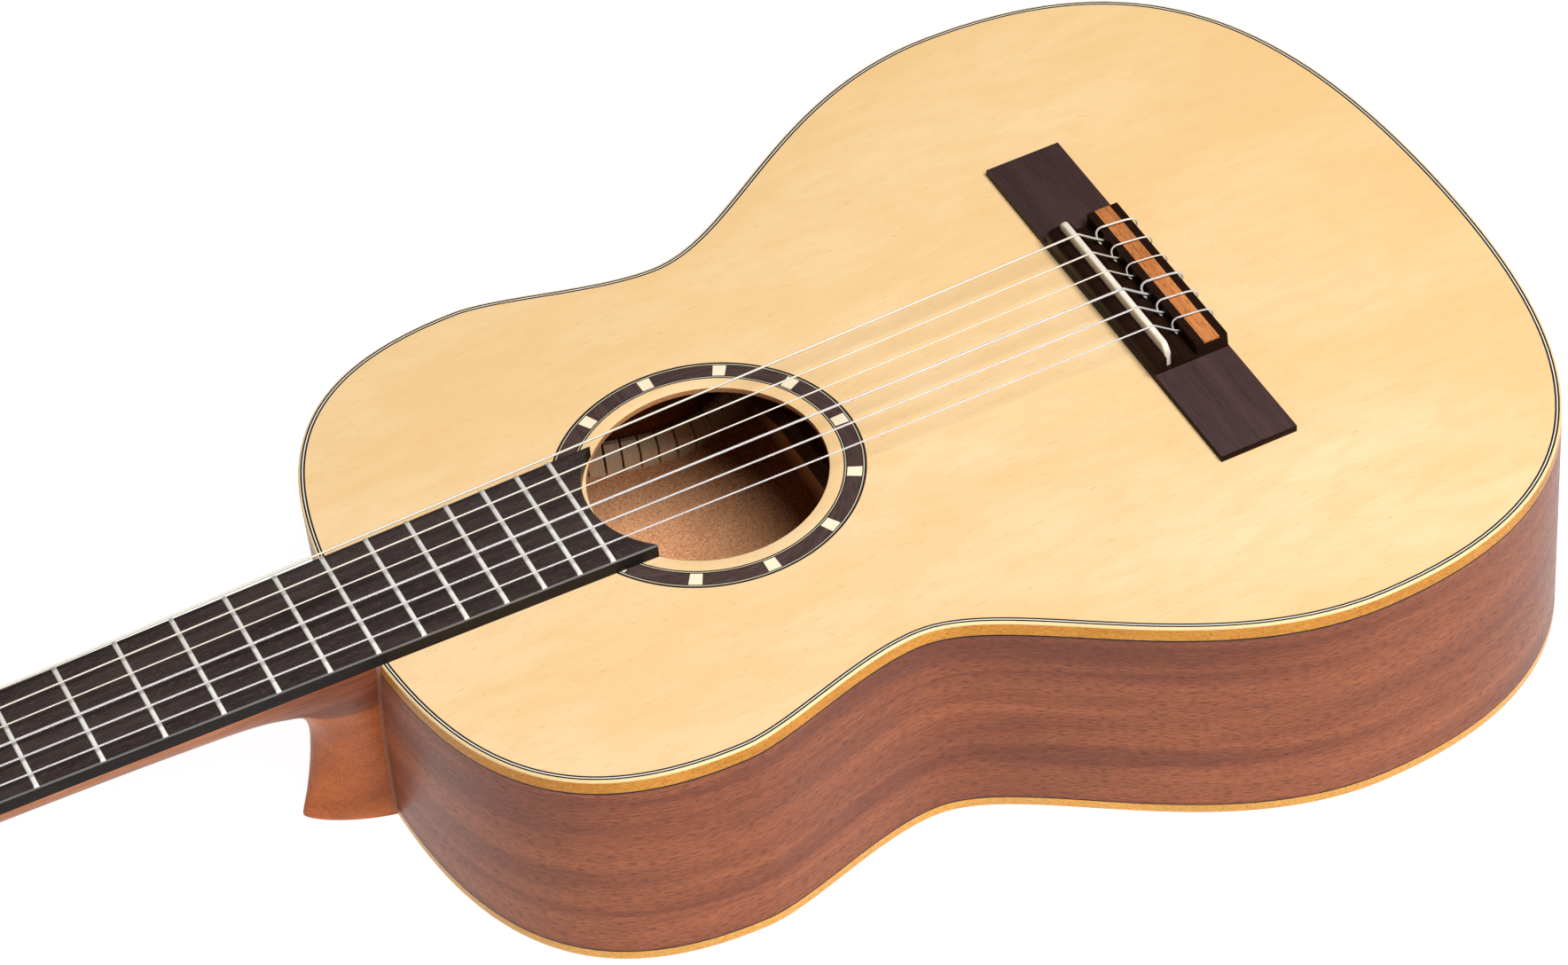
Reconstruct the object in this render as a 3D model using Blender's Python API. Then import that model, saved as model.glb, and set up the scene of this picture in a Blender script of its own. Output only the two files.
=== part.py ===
"""Classical guitar, strung left-handed, lying on its back.

Lengths below are in millimetres in the guitar's own frame: x across (+x is the bass side), y along the neck from the
front face of the nut (+y towards the head), z up from the top face of the soundboard. The parent empty "guitar_frame"
turns that frame by the taper of the body, so that the back lies flat on z = 0.
"""

import math

import bmesh
import bpy
from mathutils import Matrix, Vector

# Scale and placing
MM = 0.001
SCALE_LENGTH = 650.0
BACK_SLOPE = 0.009
BACK_AT_NUT = -96.8
TILT = -math.atan(BACK_SLOPE)
GAP = 0.1

# Shading: edges that turn by less than this stay smooth
SMOOTH_ANGLE = math.radians(40.0)
STRING_SMOOTH_ANGLE = math.radians(62.0)

# Body outline: half widths and stations of the upper bout, the waist and the lower bout
FRONT_Y = -323.7
UPPER_BOUT = (134.6, -424.0)
WAIST = (116.6, -503.9)
LOWER_BOUT = (186.2, -662.5)
TAIL_Y = -797.5
HANDLES = ((86.5, 74.5), (20.0, 25.5), (37.5, 73.0), (103.0, 116.5))
OUTLINE_STEPS = 7

# Body shell
TOP_THICK = 2.5
BACK_THICK = 2.5
RIB_THICK = 2.0
BINDING_WIDTH = 1.6
PURFLING_WIDTH = 1.0
TOP_BINDING_HEIGHT = 7.2
BACK_BINDING_HEIGHT = 5.0
LINING_WIDTH = 5.9
LINING_HEIGHT = 13.4
BLOCK_HALF_WIDTH = 34.0

# Soundhole and rosette
HOLE_Y = -473.2
HOLE_R = 46.7
ROSETTE_INNER = 52.1
ROSETTE_OUTER = 61.2
ROSETTE_DEPTH = 1.2

# Neck and fingerboard
NECK_W = 47.2
BODY_JOINT_W = 58.3
BOARD_THICK = 6.1
BOARD_END_Y = -424.3
BOARD_TIP_Y = -438.2
FRETS = 18
FRET_HEIGHT = 1.1
CROWN_WIDTH = 2.1
TANG_WIDTH = 0.6
TANG_DEPTH = 2.0

# Headstock, in its own plane: u runs away from the nut, n stands up from its face
HEAD_START_Y = 5.6
HEAD_ANGLE = math.radians(15.0)
HEAD_THICK = 18.0
VENEER_THICK = 2.0
HEAD_OUTLINE = ((0.4, 23.9), (8.0, 25.0), (14.0, 27.0), (21.0, 30.0), (29.0, 31.6), (38.0, 32.0), (164.0, 32.0))
CREST = ((172.0, 31.2), (178.0, 27.5), (181.0, 20.0), (182.0, 12.0), (184.5, 5.0), (186.0, 0.0))
SLOT_X = 14.5
SLOT_HALF_WIDTH = 7.5
SLOT_FROM = 24.0
SLOT_TO = 146.0

# Tuning machines
ROLLER_U = (56.0, 91.0, 126.0)
ROLLER_N = -7.9
ROLLER_R = 5.0
JOURNAL_R = 3.0
JOURNAL_HOLE_R = 3.35
PLATE_X = 32.1
PLATE_THICK = 1.2
GEAR_X = 36.9
GEAR_WIDTH = 3.0
GEAR_TEETH = 14
GEAR_PITCH_R = 6.25
WORM_PITCH_R = 2.5
WORM_LEAD = 2.0 * math.pi * GEAR_PITCH_R / GEAR_TEETH
WORM_TURNS = 3
WORM_SIDES = 10
SHAFT_R = 1.45
SHAFT_HOLE_R = 1.8

# Bridge
BRIDGE_FRONT_Y = -644.0
BRIDGE_BACK_Y = -676.8
BRIDGE_HALF = 95.5
BRIDGE_THICK = 3.0
BRIDGE_CENTRE_HALF = 44.0
RIDGE_TOP = 9.7
BLOCK_TOP = 10.2
BLOCK_FRONT_Y = -662.5
TROUGH_Z = 4.5
SADDLE_Y = -650.7
SADDLE_HALF = 42.3
SADDLE_THICK = 2.6
SADDLE_TOP = 14.3
TIE_HOLE_Z = 7.0

# Strings, bass to treble: name, radius, x at the nut, x at the saddle
STRINGS = (
    ("E_bass", 0.55, 19.6, 30.8),
    ("A", 0.45, 11.8, 18.6),
    ("D", 0.38, 3.9, 6.4),
    ("G", 0.51, -3.9, -5.8),
    ("B", 0.42, -11.8, -17.9),
    ("E_treble", 0.36, -19.6, -30.0),
)
STRING_SIDES = 6
NUT_THICK = 5.5
NUT_TOP = 8.9
NUT_REST = 7.8
ROLLER_STRING_X = (14.5, 13.0, 11.5)
COIL_TURNS = 3


# ---------------------------------------------------------------- frame and meshes


def clear_scene():
    for obj in list(bpy.data.objects):
        bpy.data.objects.remove(obj)


def make_root():
    root = bpy.data.objects.new("guitar_frame", None)
    bpy.context.scene.collection.objects.link(root)
    root.rotation_euler = (TILT, 0.0, 0.0)
    turn = Matrix.Rotation(TILT, 3, "X")
    back = turn @ Vector((0.0, 0.0, BACK_AT_NUT))
    head_end = turn @ head_point(0.0, CREST[-1][0], GAP + VENEER_THICK)
    tail_end = turn @ Vector((0.0, TAIL_Y, BACK_AT_NUT + BACK_SLOPE * TAIL_Y))
    root.location = Vector((0.0, -(head_end.y + tail_end.y) / 2.0, -back.z)) * MM
    return root


def new_object(name, bm, material=None, origin=(0.0, 0.0, 0.0), turn=None):
    """Links the millimetre mesh bm as an object in metres. With turn, its points are in the turned frame at origin."""
    bmesh.ops.remove_doubles(bm, verts=bm.verts, dist=0.002)
    bmesh.ops.recalc_face_normals(bm, faces=bm.faces)
    bmesh.ops.scale(bm, vec=(MM, MM, MM), verts=bm.verts)
    mesh = bpy.data.meshes.new(name)
    bm.to_mesh(mesh)
    bm.free()
    obj = bpy.data.objects.new(name, mesh)
    bpy.context.scene.collection.objects.link(obj)
    obj.parent = ROOT
    obj.location = Vector(origin) * MM
    if turn is not None:
        obj.rotation_euler = turn
    if material:
        mesh.materials.append(material)
    return obj


def boolean(obj, other, operation):
    """Adds a Boolean of other to obj. A cutter is hidden from render and drawn as wire."""
    modifier = obj.modifiers.new(operation.lower(), "BOOLEAN")
    modifier.operation = operation
    modifier.solver = "EXACT"
    modifier.object = other
    other.hide_render = True
    other.display_type = "WIRE"


def cut(obj, cutter):
    boolean(obj, cutter, "DIFFERENCE")


def join(obj, other):
    boolean(obj, other, "UNION")


def settle(obj):
    """Applies the Booleans of obj and shades it smooth, but not across its sharp edges."""
    graph = bpy.context.evaluated_depsgraph_get()
    mesh = bpy.data.meshes.new_from_object(obj.evaluated_get(graph))
    obj.modifiers.clear()
    rough = obj.data
    obj.data = mesh
    bpy.data.meshes.remove(rough)
    mesh.name = obj.name
    thin = mesh.materials[0].name.endswith("_string")
    mesh.shade_smooth()
    mesh.set_sharp_from_angle(angle=STRING_SMOOTH_ANGLE if thin else SMOOTH_ANGLE)


def settle_all():
    """Settles every piece, then removes the cutters and the bodies that were joined to others."""
    bpy.context.view_layer.update()
    pieces = [obj for obj in bpy.data.objects if obj.type == "MESH"]
    for obj in pieces:
        if not obj.hide_render:
            settle(obj)
    for obj in pieces:
        if obj.hide_render:
            bpy.data.objects.remove(obj)


def loft(bm, loops, cap=True):
    """Joins successive closed loops of equal length with quads, and closes both ends."""
    rows = [[bm.verts.new(point) for point in loop] for loop in loops]
    count = len(rows[0])
    for low, high in zip(rows, rows[1:]):
        for k in range(count):
            j = (k + 1) % count
            bm.faces.new((low[k], low[j], high[j], high[k]))
    if cap:
        bm.faces.new(rows[0])
        bm.faces.new(rows[-1])
    return rows


def close_loops(bm, rows):
    """Joins the last row of a closed sweep back to the first."""
    count = len(rows[0])
    for k in range(count):
        j = (k + 1) % count
        bm.faces.new((rows[-1][k], rows[-1][j], rows[0][j], rows[0][k]))


def prism(bm, outline, low, high):
    """A straight prism over a list of (x, y); low and high are heights or functions of y."""
    bottom = [(x, y, height_at(low, y)) for x, y in outline]
    top = [(x, y, height_at(high, y)) for x, y in outline]
    loft(bm, (bottom, top))


def height_at(height, y):
    return height(y) if callable(height) else height


def block(bm, x, y, z):
    """A box between the pairs x, y and z; each z is a height or a function of y."""
    prism(bm, [(x[0], y[0]), (x[1], y[0]), (x[1], y[1]), (x[0], y[1])], z[0], z[1])


def ring_points(radius, count, centre=(0.0, 0.0), phase=0.0):
    angles = [2.0 * math.pi * (k + phase) / count for k in range(count)]
    return [(centre[0] + radius * math.cos(a), centre[1] + radius * math.sin(a)) for a in angles]


def tube(bm, path, radius, sides):
    """A round tube along a list of points, with its section carried along without twist."""
    points = [Vector(p) for p in path]
    first = (points[1] - points[0]).normalized()
    side = first.cross(Vector((0.0, 0.0, 1.0))).normalized()
    loops = []
    for k, point in enumerate(points):
        before = (point - points[k - 1]).normalized() if k else first
        after = (points[k + 1] - point).normalized() if k + 1 < len(points) else before
        ahead = (before + after).normalized()
        side = (side - ahead * side.dot(ahead)).normalized()
        up = ahead.cross(side)
        stretch = 1.0 / max(0.6, ahead.dot(after))
        lean = (after - before).normalized() if (after - before).length > 1e-6 else side
        loop = []
        for j in range(sides):
            angle = 2.0 * math.pi * j / sides
            step = (side * math.cos(angle) + up * math.sin(angle)) * radius
            step += lean * step.dot(lean) * (stretch - 1.0)
            loop.append(point + step)
        loops.append(loop)
    loft(bm, loops)


def lathe_x(bm, profile, sides, centre=(0.0, 0.0)):
    """Turns (x, radius) pairs about the x axis through centre (y, z)."""
    loops = []
    for x, radius in profile:
        loops.append([(x, centre[0] + y, centre[1] + z) for y, z in ring_points(radius, sides)])
    loft(bm, loops)


# ---------------------------------------------------------------- guitar frame helpers


def back_z(above):
    """A height above the underside of the back, as a function of y."""
    return lambda y: BACK_AT_NUT + BACK_SLOPE * y + above


def head_point(x, u, n):
    c = math.cos(HEAD_ANGLE)
    s = math.sin(HEAD_ANGLE)
    return Vector((x, HEAD_START_Y + u * c + n * s, -u * s + n * c))


def board_half(y):
    return NECK_W / 2.0 - (BODY_JOINT_W - NECK_W) / SCALE_LENGTH * y


def bezier(p0, p1, p2, p3, steps):
    points = []
    for k in range(steps):
        t = k / steps
        s = 1.0 - t
        weights = (s * s * s, 3.0 * s * s * t, 3.0 * s * t * t, t * t * t)
        points.append(tuple(sum(w * p[i] for w, p in zip(weights, (p0, p1, p2, p3))) for i in (0, 1)))
    return points


def half_outline():
    """The +x half of the body outline, from the middle of the front to the middle of the tail."""
    stops = ((0.0, FRONT_Y), UPPER_BOUT, WAIST, LOWER_BOUT, (0.0, TAIL_Y))
    controls = (
        ((HANDLES[0][0], FRONT_Y), (UPPER_BOUT[0], UPPER_BOUT[1] + HANDLES[0][1])),
        ((UPPER_BOUT[0], UPPER_BOUT[1] - HANDLES[1][0]), (WAIST[0], WAIST[1] + HANDLES[1][1])),
        ((WAIST[0], WAIST[1] - HANDLES[2][0]), (LOWER_BOUT[0], LOWER_BOUT[1] + HANDLES[2][1])),
        ((LOWER_BOUT[0], LOWER_BOUT[1] - HANDLES[3][0]), (HANDLES[3][1], TAIL_Y)),
    )
    points = []
    for start, (first, second), end in zip(stops, controls, stops[1:]):
        points += bezier(start, first, second, end, OUTLINE_STEPS)
    return points + [stops[-1]]


def full_outline():
    half = half_outline()
    return half + [(-x, y) for x, y in half[-2:0:-1]]


def inward(outline, k):
    """The inward direction at corner k of the closed outline, lengthened so that the sides move evenly."""
    count = len(outline)
    before = Vector(outline[k]) - Vector(outline[k - 1])
    after = Vector(outline[(k + 1) % count]) - Vector(outline[k])
    first = Vector((before.y, -before.x)).normalized()
    second = Vector((after.y, -after.x)).normalized()
    middle = (first + second).normalized()
    return middle / middle.dot(first)


def inset(outline, distance):
    moved = []
    for k, point in enumerate(outline):
        spot = Vector(point) + inward(outline, k) * distance
        moved.append((spot.x, spot.y))
    return moved


def sweep_body(bm, section, closed=True, keep=None):
    """Sweeps a section of (inset, height) around the body. keep picks the corners of an open sweep, in order."""
    outline = full_outline()
    indices = keep if keep is not None else range(len(outline))
    loops = []
    for k in indices:
        step = inward(outline, k)
        loop = []
        for offset, height in section:
            x = outline[k][0] + step.x * offset
            y = outline[k][1] + step.y * offset
            loop.append((x, y, height_at(height, y)))
        loops.append(loop)
    rows = loft(bm, loops, cap=not closed)
    if closed:
        close_loops(bm, rows)
    return rows


# ---------------------------------------------------------------- materials


def material(name, colour, roughness, metallic=0.0):
    made = bpy.data.materials.new(name)
    made.use_nodes = True
    made.diffuse_color = (*colour, 1.0)
    shader = made.node_tree.nodes["Principled BSDF"]
    shader.inputs["Base Color"].default_value = (*colour, 1.0)
    shader.inputs["Roughness"].default_value = roughness
    shader.inputs["Metallic"].default_value = metallic
    return made


def make_materials():
    return {
        "spruce": material("spruce", (0.93, 0.66, 0.33), 0.35),
        "brace_spruce": material("brace_spruce", (0.78, 0.58, 0.34), 0.7),
        "mahogany": material("mahogany", (0.27, 0.10, 0.06), 0.3),
        "neck_wood": material("neck_wood", (0.42, 0.16, 0.07), 0.4),
        "maple_binding": material("maple_binding", (0.72, 0.42, 0.16), 0.35),
        "back_maple": material("back_maple", (0.66, 0.36, 0.13), 0.35),
        "lining_wood": material("lining_wood", (0.60, 0.38, 0.19), 0.75),
        "block_wood": material("block_wood", (0.46, 0.22, 0.11), 0.75),
        "rosewood_board": material("rosewood_board", (0.055, 0.035, 0.03), 0.5),
        "rosewood_bridge": material("rosewood_bridge", (0.07, 0.035, 0.03), 0.4),
        "rosewood_veneer": material("rosewood_veneer", (0.09, 0.04, 0.03), 0.3),
        "rosette_wood": material("rosette_wood", (0.12, 0.05, 0.03), 0.35),
        "orange_inlay": material("orange_inlay", (0.62, 0.24, 0.07), 0.4),
        "bone": material("bone", (0.86, 0.79, 0.66), 0.35),
        "fret_metal": material("fret_metal", (0.78, 0.75, 0.68), 0.25, 1.0),
        "wound_string": material("wound_string", (0.80, 0.76, 0.68), 0.3, 1.0),
        "nylon_string": material("nylon_string", (0.80, 0.77, 0.72), 0.25),
        "plate_brass": material("plate_brass", (0.75, 0.56, 0.25), 0.3, 1.0),
        "roller_white": material("roller_white", (0.85, 0.82, 0.74), 0.35),
        "button_pearl": material("button_pearl", (0.88, 0.85, 0.78), 0.25),
    }


# ---------------------------------------------------------------- body


def make_soundboard(mats):
    bm = bmesh.new()
    inner = inset(full_outline(), BINDING_WIDTH + PURFLING_WIDTH + GAP)
    prism(bm, inner, -TOP_THICK, 0.0)
    board = new_object("soundboard", bm, mats["spruce"])
    hole = bmesh.new()
    prism(hole, ring_points(HOLE_R, 40, (0.0, HOLE_Y)), -TOP_THICK - 3.0, 3.0)
    cut(board, new_object("cutter_hole", hole))
    groove = bmesh.new()
    ring(groove, ROSETTE_INNER, ROSETTE_OUTER, -ROSETTE_DEPTH - GAP, 2.0)
    cut(board, new_object("cutter_groove", groove))


def ring(bm, inner, outer, low, high):
    """A flat ring around the soundhole."""
    loops = []
    for inside, outside in zip(ring_points(inner, 40), ring_points(outer, 40)):
        a = (inside[0], inside[1] + HOLE_Y)
        b = (outside[0], outside[1] + HOLE_Y)
        loops.append([(*a, low), (*b, low), (*b, high), (*a, high)])
    close_loops(bm, loft(bm, loops, cap=False))


def make_rosette(mats):
    bm = bmesh.new()
    ring(bm, ROSETTE_INNER + GAP, ROSETTE_OUTER - GAP, -ROSETTE_DEPTH, 0.0)
    new_object("rosette", bm, mats["rosette_wood"])


def make_back(mats):
    bm = bmesh.new()
    prism(bm, inset(full_outline(), BINDING_WIDTH + GAP), back_z(0.0), back_z(BACK_THICK))
    new_object("back", bm, mats["mahogany"])


def make_bindings(mats):
    bm = bmesh.new()
    purfled = BINDING_WIDTH + PURFLING_WIDTH
    section = ((0.0, 0.0), (0.0, -TOP_BINDING_HEIGHT), (BINDING_WIDTH, -TOP_BINDING_HEIGHT))
    section += ((BINDING_WIDTH, -TOP_THICK), (purfled, -TOP_THICK), (purfled, 0.0))
    sweep_body(bm, section)
    new_object("top_binding", bm, mats["maple_binding"])
    bm = bmesh.new()
    low = back_z(0.0)
    high = back_z(BACK_BINDING_HEIGHT)
    sweep_body(bm, ((0.0, low), (0.0, high), (BINDING_WIDTH, high), (BINDING_WIDTH, low)))
    new_object("back_binding", bm, mats["back_maple"])


def make_rib(name, side, mats):
    """One rib, from the seam at the front to the seam at the tail."""
    bm = bmesh.new()
    half = len(half_outline())
    low = back_z(BACK_BINDING_HEIGHT + GAP)
    high = -TOP_BINDING_HEIGHT - GAP
    section = ((0.0, low), (0.0, high), (RIB_THICK, high), (RIB_THICK, low))
    rows = sweep_body(bm, section, closed=False, keep=range(half))
    for vert in rows[0] + rows[-1]:
        vert.co.x = GAP / 2.0
    if side < 0:
        bmesh.ops.scale(bm, vec=(-1.0, 1.0, 1.0), verts=bm.verts)
    new_object(name, bm, mats["mahogany"])


def make_linings(mats):
    """The two linings run round the body and stop on each side of the neck block."""
    outline = full_outline()
    keep = [k for k, (x, y) in enumerate(outline) if abs(x) > BLOCK_HALF_WIDTH + 1.0 or y < WAIST[1]]
    near = RIB_THICK + GAP
    far = near + LINING_WIDTH
    top = -TOP_THICK - GAP
    shapes = {
        "top_lining": (top, top - LINING_HEIGHT, top - LINING_HEIGHT * 0.45),
        "back_lining": (
            back_z(BACK_THICK + GAP),
            back_z(BACK_THICK + GAP + LINING_HEIGHT),
            back_z(BACK_THICK + GAP + LINING_HEIGHT * 0.45),
        ),
    }
    for name, (flat, tip, shoulder) in shapes.items():
        bm = bmesh.new()
        section = ((near, flat), (near, tip), (near + 1.6, tip), (far, shoulder), (far, flat))
        sweep_body(bm, section, closed=False, keep=keep)
        new_object(name, bm, mats["lining_wood"])


def make_blocks(mats):
    bm = bmesh.new()
    front = FRONT_Y - RIB_THICK - 2.3
    heights = (back_z(BACK_THICK + GAP), -TOP_THICK - GAP)
    block(bm, (-BLOCK_HALF_WIDTH, BLOCK_HALF_WIDTH), (front - 24.0, front), heights)
    new_object("neck_block", bm, mats["block_wood"])
    bm = bmesh.new()
    rear = TAIL_Y + RIB_THICK + 1.4
    reach = LINING_HEIGHT + TOP_THICK + 3.0 * GAP
    block(bm, (-26.0, 26.0), (rear, rear + 14.0), (back_z(reach), -reach))
    new_object("tail_block", bm, mats["block_wood"])


def make_bars(mats):
    """The two cross bars under the soundboard, above and below the soundhole."""
    for name, y, half in (("harmonic_bar_upper", -398.0, 119.0), ("harmonic_bar_lower", -531.0, 108.0)):
        bm = bmesh.new()
        top = -TOP_THICK - GAP
        ends = ((-half, top), (-half, top - 5.0), (-half + 22.0, top - 15.0))
        section = list(ends) + [(-x, z) for x, z in reversed(ends)]
        loft(bm, [[(x, edge, z) for x, z in section] for edge in (y - 3.5, y + 3.5)])
        new_object(name, bm, mats["brace_spruce"])


def make_fan_bracing(mats):
    """Five struts fanned under the lower bout, joined by the patch under the bridge."""
    top = -TOP_THICK - GAP
    bm = bmesh.new()
    block(bm, (-88.0, 88.0), (-662.0, -620.0), (top - 2.0, top - 0.1))
    patch = new_object("fan_bracing", bm, mats["brace_spruce"])
    spans = ((0.0, 0.0, -774.0), (22.0, 46.0, -768.0), (44.0, 92.0, -742.0))
    for k, (near, far, end) in enumerate(spans):
        for side in (1.0, -1.0) if near else (1.0,):
            strut = bmesh.new()
            outline = [(side * near - 2.2, -537.0), (side * near + 2.2, -537.0)]
            outline += [(side * far + 2.2, end), (side * far - 2.2, end)]
            prism(strut, outline, top - 5.5, top)
            join(patch, new_object(f"strut_{k}_{'p' if side > 0 else 'm'}", strut))


def make_back_bracing(mats):
    """Three bars across the back and the strip over its centre seam, as one glued frame."""
    low = BACK_THICK + GAP
    bm = bmesh.new()
    block(bm, (-7.0, 7.0), (-778.0, -355.0), (back_z(low), back_z(low + 2.0)))
    strip = new_object("back_bracing", bm, mats["brace_spruce"])
    for k, (y, half) in enumerate(((-412.0, 120.0), (-543.0, 115.0), (-690.0, 170.0))):
        bar = bmesh.new()
        floor = back_z(low)(y)
        ends = ((-half, 0.06), (-half, 5.0), (-half + 24.0, 15.0))
        section = list(ends) + [(-x, z) for x, z in reversed(ends)]
        loops = []
        for edge in (y - 3.5, y + 3.5):
            loops.append([(x, edge, floor + z) for x, z in section])
        loft(bar, loops)
        join(strip, new_object(f"back_bar_{k}", bar))


# ---------------------------------------------------------------- neck and head


def neck_sections():
    """Rows of (edge y, edge z, half width, bottom y, bottom z, fullness), from inside the head to the heel's foot."""
    rows = []
    for u, half, depth, fullness in ((24.0, 29.6, 17.4, 5.0), (12.0, 26.2, 16.8, 3.6), (0.0, 23.75, 15.4, 2.6)):
        edge = head_point(0.0, u, 0.0)
        low = head_point(0.0, u, -depth)
        rows.append((edge.y, edge.z, half, low.y, low.z, fullness))
    for y, depth in ((-12.0, 14.2), (-110.0, 14.6), (-200.0, 15.6), (-245.0, 17.6), (-262.0, 18.9)):
        rows.append((y, 0.0, board_half(y), y, -depth, 2.0))
    joint = FRONT_Y + GAP
    heel = (
        (-276.0, 0.0, -274.8, -20.9),
        (-290.0, 0.0, -285.0, -25.0),
        (joint, 0.0, -292.6, -31.6),
        (joint, -12.0, -298.4, -40.8),
        (joint, -28.0, -300.2, -52.0),
        (joint, -46.0, -298.2, -65.0),
        (joint, -70.0, -294.2, -80.0),
        (joint, -98.4, -291.0, -94.0),
    )
    rear_half = {-12.0: 25.6, -28.0: 21.4, -46.0: 17.8, -70.0: 15.2, -98.4: 13.6}
    for edge_y, edge_z, low_y, low_z in heel:
        half = rear_half.get(edge_z, board_half(edge_y))
        fullness = 2.0 + 0.55 * edge_z / 98.4
        rows.append((edge_y, edge_z, half, low_y, low_z, fullness))
    return rows


def neck_loops(rows, steps):
    """Closed sections whose flat side joins the two edges, and whose curve passes through the bottom point."""
    loops = []
    for edge_y, edge_z, half, low_y, low_z, fullness in rows:
        loop = []
        for k in range(steps + 1):
            angle = math.pi * k / steps
            across = math.copysign(abs(math.cos(angle)) ** (2.0 / fullness), math.cos(angle))
            down = max(0.0, math.sin(angle)) ** (2.0 / fullness)
            y = edge_y + (low_y - edge_y) * down
            z = edge_z + (low_z - edge_z) * down
            loop.append((half * across, y, z))
        loops.append(loop)
    return loops


def head_prism(bm, outline, low, high):
    """A prism over (x, u) points, between two heights above the head's face."""
    loft(bm, [[head_point(x, u, n) for x, u in outline] for n in (low, high)])


def head_outline(start):
    half = [(x, u) for u, x in HEAD_OUTLINE if u >= start] + [(x, u) for u, x in CREST]
    return half + [(-x, u) for x, u in half[-2::-1]]


def slot_outline(side):
    middle = side * SLOT_X
    points = []
    for centre, turn in ((SLOT_TO - SLOT_HALF_WIDTH, 0.0), (SLOT_FROM + SLOT_HALF_WIDTH, math.pi)):
        for k in range(5):
            angle = turn + math.pi * k / 4.0
            points.append((middle + SLOT_HALF_WIDTH * math.cos(angle), centre + SLOT_HALF_WIDTH * math.sin(angle)))
    return points


def make_neck(mats):
    bm = bmesh.new()
    loft(bm, neck_loops(neck_sections(), 10))
    neck = new_object("neck", bm, mats["neck_wood"])
    slab = bmesh.new()
    head_prism(slab, head_outline(14.0), -HEAD_THICK, 0.0)
    join(neck, new_object("neck_head", slab))
    bm = bmesh.new()
    head_prism(bm, head_outline(0.0), GAP, GAP + VENEER_THICK)
    veneer = new_object("head_veneer", bm, mats["rosewood_veneer"])
    for side in (1.0, -1.0):
        label = "bass" if side > 0 else "treble"
        slot = bmesh.new()
        head_prism(slot, slot_outline(side), -HEAD_THICK - 4.0, VENEER_THICK + 4.0)
        cutter = new_object(f"cutter_slot_{label}", slot)
        cut(neck, cutter)
        cut(veneer, cutter)
        bores = bmesh.new()
        for u in ROLLER_U:
            centre = head_point(0.0, u, ROLLER_N)
            lathe_x(bores, ((side * 3.0, JOURNAL_HOLE_R), (side * 40.0, JOURNAL_HOLE_R)), 12, (centre.y, centre.z))
        cut(neck, new_object(f"cutter_bores_{label}", bores))


def fret_y(n):
    return -SCALE_LENGTH * (1.0 - 2.0 ** (-n / 12.0))


def board_outline():
    tip = board_half(BOARD_TIP_Y)
    sagitta = BOARD_END_Y - BOARD_TIP_Y
    radius = (tip * tip + sagitta * sagitta) / (2.0 * sagitta)
    reach = math.asin(tip / radius)
    arc = []
    for k in range(9):
        angle = reach * (1.0 - k / 4.0)
        arc.append((radius * math.sin(angle), BOARD_END_Y - radius + radius * math.cos(angle)))
    return [(-board_half(-GAP), -GAP), (board_half(-GAP), -GAP)] + arc


def make_fingerboard(mats):
    bm = bmesh.new()
    prism(bm, board_outline(), GAP, BOARD_THICK)
    board = new_object("fingerboard", bm, mats["rosewood_board"])
    slots = bmesh.new()
    for n in range(1, FRETS + 1):
        y = fret_y(n)
        half = board_half(y) - 0.7
        block(slots, (-half, half), (y - 0.5, y + 0.5), (BOARD_THICK - TANG_DEPTH - 0.3, BOARD_THICK + 1.0))
    cut(board, new_object("cutter_fret_slots", slots))


def make_fret(n, mats):
    """A crown with bevelled ends, with its tang drawn down from the underside."""
    y = fret_y(n)
    half = board_half(y) - 0.25
    low = BOARD_THICK + GAP
    rise = ((-1.0, 0.0, 0.0), (-0.85, 0.5, 0.4), (-0.4, 0.9, 0.9), (0.4, 0.9, 0.9), (0.85, 0.5, 0.4), (1.0, 0.0, 0.0))
    bm = bmesh.new()
    loops = []
    for side in (-1.0, 1.0):
        loop = []
        for across, up, back in rise:
            loop.append((side * (half - back), y + across * CROWN_WIDTH / 2.0, low + up * FRET_HEIGHT / 0.9))
        loops.append(loop)
    loft(bm, loops)
    bm.faces.ensure_lookup_table()
    bmesh.ops.recalc_face_normals(bm, faces=bm.faces)
    under = min(bm.faces, key=lambda face: face.calc_center_median().z)
    margin = (CROWN_WIDTH - TANG_WIDTH) / 2.0
    bmesh.ops.inset_individual(bm, faces=[under], thickness=margin, use_even_offset=True)
    grown = bmesh.ops.extrude_discrete_faces(bm, faces=[under])["faces"][0]
    for vert in grown.verts:
        vert.co.z -= TANG_DEPTH
        vert.co.x -= math.copysign(0.6, vert.co.x)
    new_object(f"fret_{n}", bm, mats["fret_metal"])


def make_nut(mats):
    bm = bmesh.new()
    half = NECK_W / 2.0
    top = ((-half, GAP), (half, GAP), (half, NUT_TOP - 0.8), (half - 0.8, NUT_TOP), (-half + 0.8, NUT_TOP))
    section = list(top) + [(-half, NUT_TOP - 0.8)]
    loft(bm, [[(x, y, z) for x, z in section] for y in (0.0, NUT_THICK)])
    nut = new_object("nut", bm, mats["bone"])
    notches = bmesh.new()
    for _, radius, x, _ in STRINGS:
        half = radius + 0.2
        block(notches, (x - half, x + half), (-2.0, NUT_THICK + 2.0), (NUT_REST, NUT_TOP + 2.0))
    cut(nut, new_object("cutter_nut_notches", notches))


# ---------------------------------------------------------------- bridge


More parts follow.
